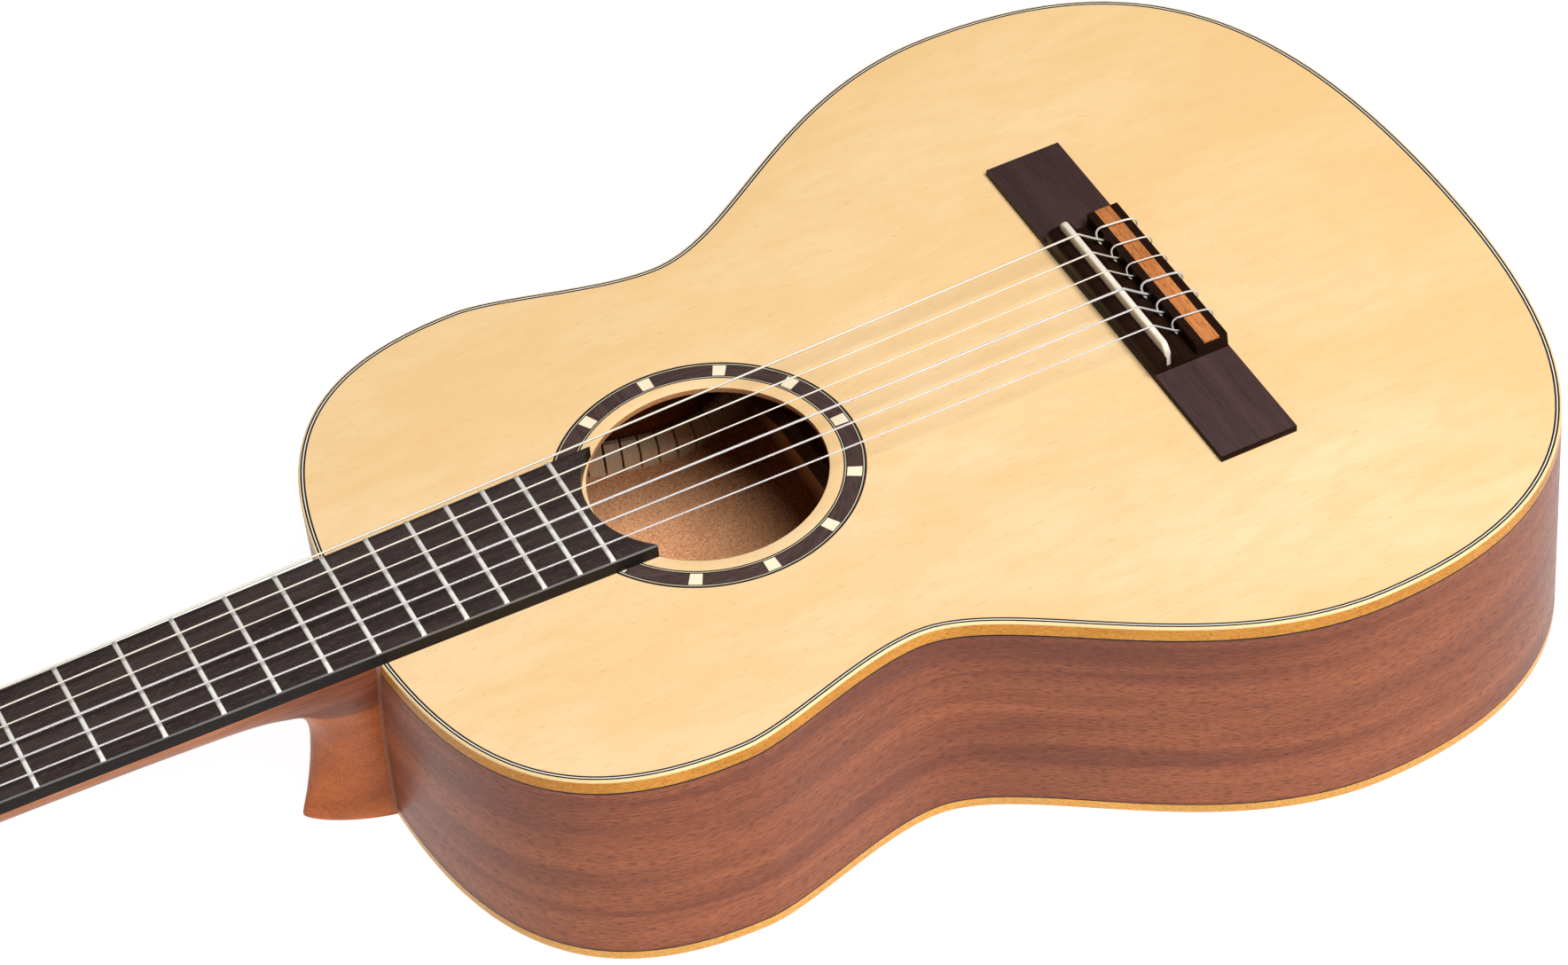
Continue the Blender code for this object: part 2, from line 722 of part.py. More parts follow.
def make_bridge(mats):
    """Flat wings, and between them the saddle ridge, the trough and the tie block."""
    wings = bmesh.new()
    edge = 1.2
    ends = ((BRIDGE_HALF, GAP), (BRIDGE_HALF, BRIDGE_THICK - edge), (BRIDGE_HALF - edge, BRIDGE_THICK))
    section = list(ends) + [(-x, z) for x, z in reversed(ends)]
    loft(wings, [[(x, y, z) for x, z in section] for y in (BRIDGE_BACK_Y, BRIDGE_FRONT_Y)])
    bridge = new_object("bridge", wings, mats["rosewood_bridge"])
    profile = (
        (BRIDGE_FRONT_Y - 0.05, 1.0),
        (BRIDGE_FRONT_Y - 0.05, 6.2),
        (BRIDGE_FRONT_Y - 0.7, 8.4),
        (BRIDGE_FRONT_Y - 2.4, RIDGE_TOP - 0.2),
        (BRIDGE_FRONT_Y - 4.4, RIDGE_TOP),
        (-653.6, RIDGE_TOP),
        (-656.0, RIDGE_TOP - 2.2),
        (-657.6, TROUGH_Z),
        (BLOCK_FRONT_Y, TROUGH_Z),
        (BLOCK_FRONT_Y, BLOCK_TOP - 0.5),
        (BLOCK_FRONT_Y - 0.5, BLOCK_TOP),
        (BRIDGE_BACK_Y + 1.2, BLOCK_TOP),
        (BRIDGE_BACK_Y + 0.6, BLOCK_TOP - 0.6),
        (BRIDGE_BACK_Y + 0.4, 1.0),
    )
    centre = bmesh.new()
    half = BRIDGE_CENTRE_HALF
    loft(centre, [[(x, y, z) for y, z in profile] for x in (-half, half)])
    join(bridge, new_object("bridge_centre", centre))
    slots = bmesh.new()
    reach = SADDLE_THICK / 2.0 + GAP
    long = SADDLE_HALF + GAP
    block(slots, (-half - 1.0, long), (SADDLE_Y - reach, SADDLE_Y + reach), (3.9, RIDGE_TOP + 3.0))
    block(slots, (-half - 2.0, half + 2.0), (-672.6, -665.8), (BLOCK_TOP - 1.1, BLOCK_TOP + 3.0))
    cut(bridge, new_object("cutter_bridge_slots", slots))
    holes = bmesh.new()
    for _, radius, _, x in STRINGS:
        outline = ring_points(radius + 0.35, 8, (x, TIE_HOLE_Z), 0.5)
        loft(holes, [[(a, y, b) for a, b in outline] for y in (BRIDGE_BACK_Y - 2.0, BLOCK_FRONT_Y + 2.0)])
    cut(bridge, new_object("cutter_tie_holes", holes))
    inlay = bmesh.new()
    block(inlay, (-half, half), (-672.6 + GAP, -665.8 - GAP), (BLOCK_TOP - 1.0, BLOCK_TOP + 0.05))
    new_object("tie_block_inlay", inlay, mats["orange_inlay"])


def make_saddle(mats):
    """A bone strip with a rounded top. Its bass end is rounded over, and its treble end slopes down."""
    bm = bmesh.new()
    ends = ((SADDLE_HALF, 4.0), (SADDLE_HALF, SADDLE_TOP - 3.2), (SADDLE_HALF - 0.8, SADDLE_TOP - 1.1))
    outline = list(ends) + [(SADDLE_HALF - 2.6, SADDLE_TOP), (-SADDLE_HALF + 2.2, SADDLE_TOP)]
    outline += [(-SADDLE_HALF, SADDLE_TOP - 4.4), (-SADDLE_HALF, 4.0)]
    half = SADDLE_THICK / 2.0
    loops = []
    for across, drop in ((-half, 0.8), (-half * 0.5, 0.0), (half * 0.5, 0.0), (half, 0.8)):
        loop = []
        for x, z in outline:
            lift = 0.0 if z < 5.0 else drop
            loop.append((x, SADDLE_Y + across, z - lift))
        loops.append(loop)
    loft(bm, loops)
    new_object("saddle", bm, mats["bone"])


# ---------------------------------------------------------------- strings


def roller_spot(index):
    """The side (+1 bass, -1 treble), station number and string x for string index."""
    side = 1.0 if index < 3 else -1.0
    place = index if index < 3 else 5 - index
    return side, place, side * ROLLER_STRING_X[place]


def string_path(index):
    _, radius, nut_x, saddle_x = STRINGS[index]
    _, place, roller_x = roller_spot(index)
    rest = NUT_REST + GAP + radius
    bend = Vector((nut_x, NUT_THICK + 0.2, rest))
    axis = head_point(0.0, ROLLER_U[place], ROLLER_N)
    hang = ROLLER_R + GAP + radius
    away = math.hypot(axis.y - bend.y, axis.z - bend.z)
    aim = math.atan2(axis.z - bend.z, axis.y - bend.y) + math.asin(hang / away)
    run = math.sqrt(away * away - hang * hang)
    end = Vector((roller_x, bend.y + run * math.cos(aim), bend.z + run * math.sin(aim)))
    over = SADDLE_TOP + GAP + radius
    x = saddle_x
    wrap = radius + 0.25
    above = BLOCK_TOP + radius + 0.25
    front = BLOCK_FRONT_Y + wrap
    rear = BRIDGE_BACK_Y + 0.35 - wrap
    loop_x = x - 2.6 * radius - 0.9
    return [
        end,
        bend,
        Vector((nut_x, 0.0, rest)),
        Vector((x, SADDLE_Y + 0.9, over)),
        Vector((x, SADDLE_Y - 0.9, over)),
        Vector((x, BLOCK_FRONT_Y + 0.8, TIE_HOLE_Z)),
        Vector((x, BRIDGE_BACK_Y - 0.1, TIE_HOLE_Z)),
        Vector((x, rear - 0.5, TIE_HOLE_Z + 0.6)),
        Vector((x - 0.1, rear - 0.3, above - 0.9)),
        Vector((x - 0.2, rear + 0.9, above)),
        Vector((x + 0.1, front - 2.2, above)),
        Vector((x + 0.6, front - 0.2, above - 0.3)),
        Vector((x + 1.2 + radius, front + 0.6, above - 1.3)),
        Vector((x + 1.0 + radius, front + 1.0, TIE_HOLE_Z + 0.4)),
        Vector((x + 0.2, front + 1.0, TIE_HOLE_Z - 2.0 * radius - 0.45)),
        Vector((loop_x, front + 0.7, TIE_HOLE_Z - radius - 0.5)),
        Vector((loop_x - 0.4, front + 0.3, TIE_HOLE_Z + 0.7)),
    ]


def make_string(index, mats):
    name, radius, _, _ = STRINGS[index]
    bm = bmesh.new()
    tube(bm, string_path(index), radius, STRING_SIDES)
    wound = index < 3
    new_object(f"string_{name}", bm, mats["wound_string" if wound else "nylon_string"])


# ---------------------------------------------------------------- tuning machines


def side_name(side):
    return "bass" if side > 0 else "treble"


def make_plate(side, mats):
    """The side plate, with a pair of bearing posts around each worm shaft."""
    label = side_name(side)
    inner = side * PLATE_X
    outer = side * (PLATE_X + PLATE_THICK)
    face = [(44.0, -16.4), (146.0, -16.4), (148.0, -14.4), (148.0, -1.4), (146.0, 0.6), (44.0, 0.6)]
    face += [(42.0, -1.4), (42.0, -14.4)]
    bm = bmesh.new()
    loft(bm, [[head_point(x, u, n) for u, n in face] for x in (inner, outer)])
    plate = new_object(f"tuner_plate_{label}", bm, mats["plate_brass"])
    posts = bmesh.new()
    bores = bmesh.new()
    for u in ROLLER_U:
        worm_u = u + GEAR_PITCH_R + WORM_PITCH_R
        for n in (ROLLER_N + 5.5, ROLLER_N - 7.7):
            box_posts(posts, side, worm_u, n)
        centre = head_point(0.0, u, ROLLER_N)
        lathe_x(bores, ((side * 30.0, JOURNAL_HOLE_R), (side * 34.5, JOURNAL_HOLE_R)), 12, (centre.y, centre.z))
        outline = ring_points(SHAFT_HOLE_R, 10)
        shaft = []
        for n in (ROLLER_N - 9.0, ROLLER_N + 9.0):
            shaft.append([head_point(side * GEAR_X + a, worm_u + b, n) for a, b in outline])
        loft(bores, shaft)
    join(plate, new_object(f"tuner_posts_{label}", posts))
    cut(plate, new_object(f"cutter_plate_{label}", bores))


def box_posts(bm, side, u, n):
    corners = ((32.7, -2.4), (39.7, -2.4), (39.7, 2.4), (32.7, 2.4))
    loft(bm, [[head_point(side * x, u + b, level) for x, b in corners] for level in (n, n + 2.2)])


def gear_loop(x, turn):
    """One outline of the worm gear at x, turned by turn."""
    points = []
    for k in range(GEAR_TEETH):
        middle = 2.0 * math.pi * k / GEAR_TEETH + turn
        for radius, width in ((5.4, -1.7), (6.85, -0.7), (6.85, 0.7), (5.4, 1.7)):
            angle = middle + width / 2.0 / radius
            points.append((x, radius * math.cos(angle), radius * math.sin(angle)))
    return points


def make_roller(index, mats):
    """A string roller with its journals, the coil of string on it and its worm gear, turning about x."""
    side, place, string_x = roller_spot(index)
    _, radius, _, _ = STRINGS[index]
    coil = abs(string_x) + radius + 0.15
    wide = 2.0 * radius
    profile = [(3.6, JOURNAL_R), (7.4, JOURNAL_R), (7.4, ROLLER_R)]
    for k in range(COIL_TURNS):
        start = coil + wide * k
        profile += [(start, ROLLER_R + 0.3 * radius), (start + radius, ROLLER_R + wide)]
    profile[3:3] = [(coil - 0.05, ROLLER_R)]
    profile += [(coil + wide * COIL_TURNS, ROLLER_R), (21.6, ROLLER_R), (21.6, JOURNAL_R), (35.2, JOURNAL_R)]
    profile += [(38.9, JOURNAL_R - 0.4), (39.3, 1.6)]
    bm = bmesh.new()
    lathe_x(bm, [(side * x, r) for x, r in profile], 10)
    name = STRINGS[index][0]
    origin = head_point(0.0, ROLLER_U[place], ROLLER_N)
    turn = (-HEAD_ANGLE, 0.0, 0.0)
    roller = new_object(f"string_roller_{name}", bm, mats["roller_white"], origin, turn)
    lean = side * WORM_LEAD / (2.0 * math.pi * WORM_PITCH_R) / GEAR_PITCH_R
    gear = bmesh.new()
    loops = []
    for half in (-GEAR_WIDTH / 2.0, GEAR_WIDTH / 2.0):
        loops.append(gear_loop(side * GEAR_X + half, lean * half))
    loft(gear, loops)
    join(roller, new_object(f"gear_{name}", gear, None, origin, turn))


def worm_thread(bm, hand):
    """A closed single-start thread about the local z axis, hand +1 for right-handed."""
    per_turn = ((-0.8, 1.75), (-0.3, 3.1), (0.3, 3.1), (0.8, 1.75))
    start = -WORM_LEAD * WORM_TURNS / 2.0
    steps = WORM_SIDES * WORM_TURNS
    rows = []
    for k in range(steps + 1):
        angle = hand * 2.0 * math.pi * k / WORM_SIDES
        rise = start + WORM_LEAD * k / WORM_SIDES
        row = []
        for shift, radius in per_turn:
            row.append(bm.verts.new((radius * math.cos(angle), radius * math.sin(angle), rise + shift)))
        rows.append(row)

    def corner(k, j):
        return rows[k][j] if j < 4 else rows[k + WORM_SIDES][0]

    for k in range(steps):
        wraps = 4 if k + 1 + WORM_SIDES <= steps else 3
        for j in range(wraps):
            bm.faces.new((corner(k, j), corner(k + 1, j), corner(k + 1, j + 1), corner(k, j + 1)))
    low = bm.verts.new((0.0, 0.0, start - 0.8))
    high = bm.verts.new((0.0, 0.0, -start + 0.8))
    edge = [rows[k][0] for k in range(WORM_SIDES + 1)] + [rows[0][j] for j in (3, 2, 1)]
    for a, b in zip(edge, edge[1:] + edge[:1]):
        bm.faces.new((low, b, a))
    edge = [rows[k][3] for k in range(steps - WORM_SIDES, steps + 1)] + [rows[steps][j] for j in (2, 1, 0)]
    for a, b in zip(edge, edge[1:] + edge[:1]):
        bm.faces.new((high, a, b))


def make_button(index, mats):
    """A tuning button on its worm shaft, turning about the local z axis (the head's thickness direction)."""
    side, place, _ = roller_spot(index)
    name = STRINGS[index][0]
    bm = bmesh.new()
    stations = (
        (8.6, 1.2, 1.2),
        (8.2, SHAFT_R, SHAFT_R),
        (-13.2, SHAFT_R, SHAFT_R),
        (-13.6, 2.4, 2.4),
        (-15.4, 2.4, 2.6),
        (-17.0, 3.0, 5.4),
        (-20.5, 3.9, 8.0),
        (-26.0, 4.3, 8.8),
        (-30.5, 3.8, 7.4),
        (-32.8, 2.2, 4.4),
    )
    loops = []
    for z, across, along in stations:
        loops.append([(across * a, along * b, z) for a, b in ring_points(1.0, WORM_SIDES)])
    loft(bm, loops)
    origin = head_point(side * GEAR_X, ROLLER_U[place] + GEAR_PITCH_R + WORM_PITCH_R, ROLLER_N)
    turn = (-HEAD_ANGLE, 0.0, 0.0)
    button = new_object(f"tuner_button_{name}", bm, mats["button_pearl"], origin, turn)
    thread = bmesh.new()
    worm_thread(thread, side)
    bmesh.ops.rotate(thread, verts=thread.verts, matrix=Matrix.Rotation(-math.pi / 2.0, 3, "Z"))
    join(button, new_object(f"worm_{name}", thread, None, origin, turn))


# ---------------------------------------------------------------- assembly

clear_scene()
ROOT = make_root()
MATS = make_materials()

make_soundboard(MATS)
make_rosette(MATS)
make_back(MATS)
make_bindings(MATS)
make_rib("rib_bass", 1.0, MATS)
make_rib("rib_treble", -1.0, MATS)
make_linings(MATS)
make_blocks(MATS)
make_bars(MATS)
make_fan_bracing(MATS)
make_back_bracing(MATS)
make_neck(MATS)
make_fingerboard(MATS)
for number in range(1, FRETS + 1):
    make_fret(number, MATS)
make_nut(MATS)
make_bridge(MATS)
make_saddle(MATS)
for end in (1.0, -1.0):
    make_plate(end, MATS)
for item in range(len(STRINGS)):
    make_string(item, MATS)
    make_roller(item, MATS)
    make_button(item, MATS)
settle_all()
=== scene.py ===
"""The classical guitar on a pale floor in soft studio light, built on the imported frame.

Lengths are in millimetres in the guitar's own frame, as in part.py: x across (+x is the bass side), y along
the neck from the nut's front face (+y towards the head), z up from the soundboard's face. WORLD carries that
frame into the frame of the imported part.
"""

from math import asin, atan, atan2, copysign, cos, hypot, pi, radians, sin, sqrt

import bmesh
import bpy
from mathutils import Matrix, Vector


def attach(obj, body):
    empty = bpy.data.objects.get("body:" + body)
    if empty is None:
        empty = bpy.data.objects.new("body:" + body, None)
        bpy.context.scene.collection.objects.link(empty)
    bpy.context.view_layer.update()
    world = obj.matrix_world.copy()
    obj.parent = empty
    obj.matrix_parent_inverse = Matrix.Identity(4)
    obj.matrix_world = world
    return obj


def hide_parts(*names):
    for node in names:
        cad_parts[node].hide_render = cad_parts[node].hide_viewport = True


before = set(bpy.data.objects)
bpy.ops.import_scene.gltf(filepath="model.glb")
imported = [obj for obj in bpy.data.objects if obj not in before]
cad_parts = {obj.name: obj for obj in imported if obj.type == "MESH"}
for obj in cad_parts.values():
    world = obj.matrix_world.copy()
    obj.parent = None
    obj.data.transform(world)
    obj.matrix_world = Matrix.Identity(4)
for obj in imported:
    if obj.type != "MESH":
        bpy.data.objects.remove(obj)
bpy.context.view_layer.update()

MM = 0.001
SCALE_LENGTH = 650.0
BACK_SLOPE = 0.009
BACK_AT_NUT = -96.8
TILT = -atan(BACK_SLOPE)
GAP = 0.1

# Body
FRONT_Y = -323.7
UPPER_BOUT = (134.6, -424.0)
WAIST = (116.6, -503.9)
LOWER_BOUT = (186.2, -662.5)
TAIL_Y = -797.5
HANDLES = ((86.5, 74.5), (20.0, 25.5), (37.5, 73.0), (103.0, 116.5))
OUTLINE_STEPS = 36
TOP_THICK = 2.5
BACK_THICK = 2.5
RIB_THICK = 2.0
BINDING_THICK = 1.6
TOP_BINDING_HEIGHT = 7.2
BACK_BINDING_HEIGHT = 5.0
DARK_LINE = 0.75
PURFLING = (0.9, 1.6, 2.02, 2.75)
BLOCK_HALF_WIDTH = 34.0
HOLE_Y = -473.2
HOLE_R = 46.7

# Kerfed linings: section, length of a block with its kerf, width of the kerf
LINING_WIDTH = 5.9
LINING_HEIGHT = 13.4
LINING_TIP = 2.2
KERF_PITCH = 7.2
KERF = 0.9

# Rings of the rosette: inner radius, outer radius, material
ROSETTE = (
    (52.15, 52.7, "black_line"),
    (52.7, 53.1, "tan_line"),
    (53.1, 53.6, "black_line"),
    (53.6, 59.3, "rosette"),
    (59.3, 59.7, "black_line"),
    (59.7, 60.15, "tan_line"),
    (60.15, 61.05, "black_line"),
)
ROSETTE_DEPTH = 1.2
TABS = 12
TAB_HALF_ANGLE = radians(2.55)
ROSETTE_STRIPS = 30

# Neck, fingerboard and head
NECK_W = 47.2
BODY_JOINT_W = 58.3
BOARD_THICK = 6.1
BOARD_END_Y = -424.3
BOARD_TIP_Y = -438.2
BOARD_BEVEL = 0.55
FRETS = 18
FRET_HEIGHT = 1.1
CROWN_WIDTH = 2.1
GLUE_LINE_Z = -26.6
# From here towards the head the shaft gets paler as painted light; nearer the heel it stays darker as painted
# shade
PAINTED_LIGHT_FROM_Y = -302.0
# Width of the painted highlight along the heel's joint with the ribs
SEAM_HIGHLIGHT_WIDTH = 1.3
HEAD_START_Y = 5.6
HEAD_ANGLE = radians(15.0)
HEAD_THICK = 18.0
HEAD_HALF = 32.0
VENEER_THICK = 2.0
HEAD_OUTLINE = (
    (0.4, 23.9), (8.0, 25.0), (14.0, 27.0), (21.0, 30.0), (29.0, 31.6), (38.0, 32.0), (100.0, 32.0),
)
CREST = (
    (164.0, 32.0), (172.0, 31.2), (178.0, 27.5), (181.0, 20.0), (182.0, 12.0), (184.5, 5.0), (186.0, 0.0),
)
SLOT_X = 14.5
SLOT_HALF_WIDTH = 7.5
SLOT_FROM = 24.0
SLOT_TO = 146.0

# The neck's underside. In the head: u, half width, depth, fullness. Along the shaft: y, depth. At the heel: y
# and z of the edge, y and z of the bottom. HEEL_HALF gives the half width at an edge below the fingerboard.
HEAD_ROWS = ((24.0, 29.6, 17.4, 5.0), (12.0, 26.2, 16.8, 3.6), (0.0, 23.75, 15.4, 2.6))
SHAFT_ROWS = (
    (-12.0, 14.2), (-60.0, 14.4), (-110.0, 14.6), (-160.0, 15.0), (-200.0, 15.6), (-230.0, 16.6),
    (-250.0, 18.0),
)
HEEL_END = FRONT_Y - 1.0
HEEL_ROWS = (
    (-264.0, 0.0, -263.5, -19.1),
    (-276.0, 0.0, -274.8, -20.9),
    (-290.0, 0.0, -285.0, -25.0),
    (HEEL_END, 0.0, -292.6, -31.6),
    (HEEL_END, -12.0, -298.4, -40.8),
    (HEEL_END, -28.0, -300.2, -52.0),
    (HEEL_END, -46.0, -298.2, -65.0),
    (HEEL_END, -70.0, -294.2, -80.0),
    (HEEL_END, -95.0, -290.4, -91.4),
    (HEEL_END, -98.4, -291.4, -94.0),
)
HEEL_HALF = {-12.0: 25.6, -28.0: 21.4, -46.0: 17.8, -70.0: 15.2, -95.0: 13.8, -98.4: 13.3}

# Tuning machines
ROLLER_U = (56.0, 91.0, 126.0)
ROLLER_N = -7.9
ROLLER_R = 5.0
JOURNAL_R = 3.0
JOURNAL_HOLE_R = 3.35
PLATE_X = 32.1
PLATE_THICK = 1.2
SCREWS = ((46.0, -12.8), (46.0, -3.0), (144.0, -12.8), (144.0, -3.0), (77.5, -13.0), (112.5, -13.0))
SCREW_DOME = ((0.0, 1.6), (0.35, 1.55), (0.7, 1.2), (0.9, 0.75))
SCREW_SLOT = ((-2.2, -0.2), (2.2, -0.2), (2.2, 0.2), (-2.2, 0.2))
GEAR_X = 36.9
GEAR_WIDTH = 3.0
GEAR_TEETH = 14
GEAR_PITCH_R = 6.25
TOOTH = (
    (5.4, -1.7), (6.1, -1.2), (6.7, -0.75), (6.85, -0.45), (6.85, 0.45), (6.7, 0.75), (6.1, 1.2), (5.4, 1.7),
)
WORM_PITCH_R = 2.5
WORM_LEAD = 2.0 * pi * GEAR_PITCH_R / GEAR_TEETH
WORM_TURNS = 3
SHAFT_R = 1.45
POST_R = 2.4

# Bridge
BRIDGE_FRONT_Y = -644.0
BRIDGE_BACK_Y = -676.8
BRIDGE_HALF = 95.5
BRIDGE_THICK = 3.0
BRIDGE_CENTRE_HALF = 44.0
RIDGE_TOP = 9.7
BLOCK_TOP = 10.2
BLOCK_FRONT_Y = -662.5
TROUGH_Z = 4.5
CHANNEL_Y = (-672.6, -665.8)
CHANNEL_DEPTH = 1.1
SADDLE_Y = -650.7
SADDLE_HALF = 42.3
SADDLE_THICK = 2.6
SADDLE_TOP = 14.3
SADDLE_FOOT = 3.95
TIE_HOLE_Z = 7.0

# Strings, bass to treble: name, radius, x at the nut, x at the saddle. The first ones are wound.
STRINGS = (
    ("E_bass", 0.55, 19.6, 30.8),
    ("A", 0.45, 11.8, 18.6),
    ("D", 0.38, 3.9, 6.4),
    ("G", 0.51, -3.9, -5.8),
    ("B", 0.42, -11.8, -17.9),
    ("E_treble", 0.36, -19.6, -30.0),
)
WOUND = 3
WOUND_SHARE = 0.86
NUT_THICK = 5.5
NUT_TOP = 8.9
NUT_REST = 7.8
ROLLER_STRING_X = (14.5, 13.0, 11.5)
COIL_TURNS = 3

# Studio: where the light and the camera stand, in the world's metres
AMBIENT = 0.07
KEY_PLACE = (-1.26, -0.61, 2.33)
KEY_TARGET = (0.0, -0.17, 0.09)
KEY_SIZE = 1.4
KEY_POWER = 92.0
CAMERA_PLACE = (-1.273171, 0.315644, 1.428737)
CAMERA_TURN = (45.356613, 4.222181, -116.11145)
CAMERA_LENS = 114.27


def head_point(x, u, n):
    """A point of the headstock: u runs away from the nut along its face, n stands up from the face."""
    c, s = cos(HEAD_ANGLE), sin(HEAD_ANGLE)
    return Vector((x, HEAD_START_Y + u * c + n * s, -u * s + n * c))


def world_frame():
    """The turn and place that lay the back flat on z = 0 with the length centred on y = 0."""
    turn = Matrix.Rotation(TILT, 4, "X")
    back = turn @ Vector((0.0, 0.0, BACK_AT_NUT))
    head_end = turn @ head_point(0.0, CREST[-1][0], GAP + VENEER_THICK)
    tail_end = turn @ Vector((0.0, TAIL_Y, BACK_AT_NUT + BACK_SLOPE * TAIL_Y))
    return Matrix.Translation(Vector((0.0, -(head_end.y + tail_end.y) / 2.0, -back.z)) * MM) @ turn


WORLD = world_frame()


# ---------------------------------------------------------------- small geometry helpers


def grain_y(p):
    """Grain running along the guitar."""
    return (p[1], p[0], p[2])


def grain_mirrored(p):
    """Bookmatched boards with the grain along the guitar."""
    return (p[1], abs(p[0]), p[2])


def grain_x(p):
    """Grain running across the guitar."""
    return (p[0], p[1], p[2])


def grain_layer(bm):
    return bm.verts.layers.float_vector.get("grain") or bm.verts.layers.float_vector.new("grain")


def new_object(name, bm):
    """An object made from bm, which is freed."""
    mesh = bpy.data.meshes.new(name)
    bm.to_mesh(mesh)
    bm.free()
    obj = bpy.data.objects.new(name, mesh)
    bpy.context.scene.collection.objects.link(obj)
    return obj


def piece(node, bm, materials, grain=grain_y, body="guitar", smooth=35.0, place=None, bevel=0.0,
          new=False):
    """Turns the millimetre mesh bm into a piece that stands for a CAD node, or into a new one.

    materials names its materials. Its grain comes from the mesh's grain layer, or else from the function
    grain. place carries the mesh's own frame into the guitar's. bevel is the width of its softened edges.
    """
    name = node if new else node + "_fine"
    layer = bm.verts.layers.float_vector.get("grain")
    marks = [c for v in bm.verts for c in (v[layer] if layer else grain(v.co))]
    if layer:
        bm.verts.layers.float_vector.remove(layer)
    bmesh.ops.scale(bm, vec=(MM, MM, MM), verts=bm.verts)
    if place is None:
        bmesh.ops.transform(bm, matrix=WORLD, verts=bm.verts)
    obj = new_object(name, bm)
    mesh = obj.data
    mesh.attributes.new("grain", "FLOAT_VECTOR", "POINT").data.foreach_set("vector", marks)
    for key in materials.split():
        mesh.materials.append(MATS[key])
    if place is not None:
        obj.matrix_world = WORLD @ place
    if bevel:
        modifier = obj.modifiers.new("bevel", "BEVEL")
        modifier.width = bevel * MM
        modifier.segments = 2
        modifier.limit_method = "ANGLE"
        modifier.angle_limit = radians(40.0)
        rounded = bpy.data.meshes.new_from_object(obj.evaluated_get(bpy.context.evaluated_depsgraph_get()))
        obj.modifiers.clear()
        obj.data = rounded
        bpy.data.meshes.remove(mesh)
        mesh = rounded
        mesh.name = name
    mesh.shade_smooth()
    mesh.set_sharp_from_angle(angle=radians(smooth))
    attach(obj, body)
    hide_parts(*([] if new else [node]))


def combine(bm, others, operation):
    """The Boolean of bm with each mesh in others. Faces of a cutter keep their material number."""
    helpers = []
    for part in [bm] + others:
        bmesh.ops.recalc_face_normals(part, faces=part.faces)
        helpers.append(new_object("work", part))
    for cutter in helpers[1:]:
        modifier = helpers[0].modifiers.new("boolean", "BOOLEAN")
        modifier.operation = operation
        modifier.solver = "EXACT"
        modifier.object = cutter
    made = bmesh.new()
    made.from_object(helpers[0], bpy.context.evaluated_depsgraph_get())
    for helper in helpers:
        data = helper.data
        bpy.data.objects.remove(helper)
        bpy.data.meshes.remove(data)
    bmesh.ops.remove_doubles(made, verts=made.verts, dist=0.002)
    return made


def loft(bm, loops, closed=False, numbers=None, number=0):
    """Joins successive loops of equal length with quads and returns the rows of points.

    numbers gives each side's material number, or number that of all the faces. closed joins the last loop
    to the first one, and otherwise both ends are capped.
    """
    rows = [[bm.verts.new(point) for point in loop] for loop in loops]
    count = len(rows[0])
    for low, high in zip(rows, rows[1:] + rows[:1] if closed else rows[1:]):
        for k in range(count):
            j = (k + 1) % count
            face = bm.faces.new((low[k], low[j], high[j], high[k]))
            face.material_index = numbers[k] if numbers else number
    if not closed:
        for row in (rows[0], rows[-1]):
            bm.faces.new(row).material_index = number
    bmesh.ops.recalc_face_normals(bm, faces=bm.faces)
    return rows


def lofted(loops, **options):
    bm = bmesh.new()
    loft(bm, loops, **options)
    return bm


def height_at(height, y):
    return height(y) if callable(height) else height


def prism(outline, low, high):
    return lofted([[(x, y, height_at(level, y)) for x, y in outline] for level in (low, high)])


def block(x, y, z):
    return prism([(x[0], y[0]), (x[1], y[0]), (x[1], y[1]), (x[0], y[1])], *z)


def ring_points(radius, count, centre=(0.0, 0.0)):
    angles = [2.0 * pi * k / count for k in range(count)]
    return [(centre[0] + radius * cos(a), centre[1] + radius * sin(a)) for a in angles]


def lathe_x(profile, sides, centre=(0.0, 0.0), numbers=()):
    """Turns (x, radius) pairs about the x axis. numbers gives the material number of each band."""
    rings = [(x, ring_points(radius, sides, centre)) for x, radius in profile]
    bm = lofted([[(x, y, z) for y, z in ring] for x, ring in rings])
    bm.faces.ensure_lookup_table()
    for band, number in enumerate(numbers):
        for face in bm.faces[band * sides:(band + 1) * sides]:
            face.material_index = number
    return bm


def tube(bm, points, radius, sides, number=0):
    """A round tube along points, which marks its length in the grain layer."""
    layer = grain_layer(bm)
    ring = ring_points(1.0, sides)
    before = (points[1] - points[0]).normalized()
    side = before.cross(Vector((0.0, 0.0, 1.0))).normalized()
    loops = []
    travelled = [0.0]
    for k, point in enumerate(points):
        if k:
            step = point - points[k - 1]
            before = step.normalized()
            travelled.append(travelled[-1] + step.length)
        after = (points[k + 1] - point).normalized() if k + 1 < len(points) else before
        ahead = (before + after).normalized()
        side = (side - ahead * side.dot(ahead)).normalized()
        up = ahead.cross(side)
        loops.append([point + (side * a + up * b) * radius for a, b in ring])
    for row, far in zip(loft(bm, loops, number=number), travelled):
        for vert, (a, b) in zip(row, ring):
            vert[layer] = (far, radius * a, radius * b)


def catmull(points, steps):
    """A smooth curve through a list of tuples."""
    made = []
    ends = [points[0], *points, points[-1]]
    for a, b, c, d in zip(ends, ends[1:], ends[2:], ends[3:]):
        for t in (j / steps for j in range(steps)):
            made.append(tuple(
                0.5 * (2.0 * q + (r - p) * t + (2.0 * p - 5.0 * q + 4.0 * r - s) * t * t
                       + (3.0 * q - p - 3.0 * r + s) * t ** 3)
                for p, q, r, s in zip(a, b, c, d)))
    return made + [tuple(points[-1])]


# ---------------------------------------------------------------- body outline


def back_z(above):
    """A height above the underside of the back, as a function of y."""
    return lambda y: BACK_AT_NUT + BACK_SLOPE * y + above


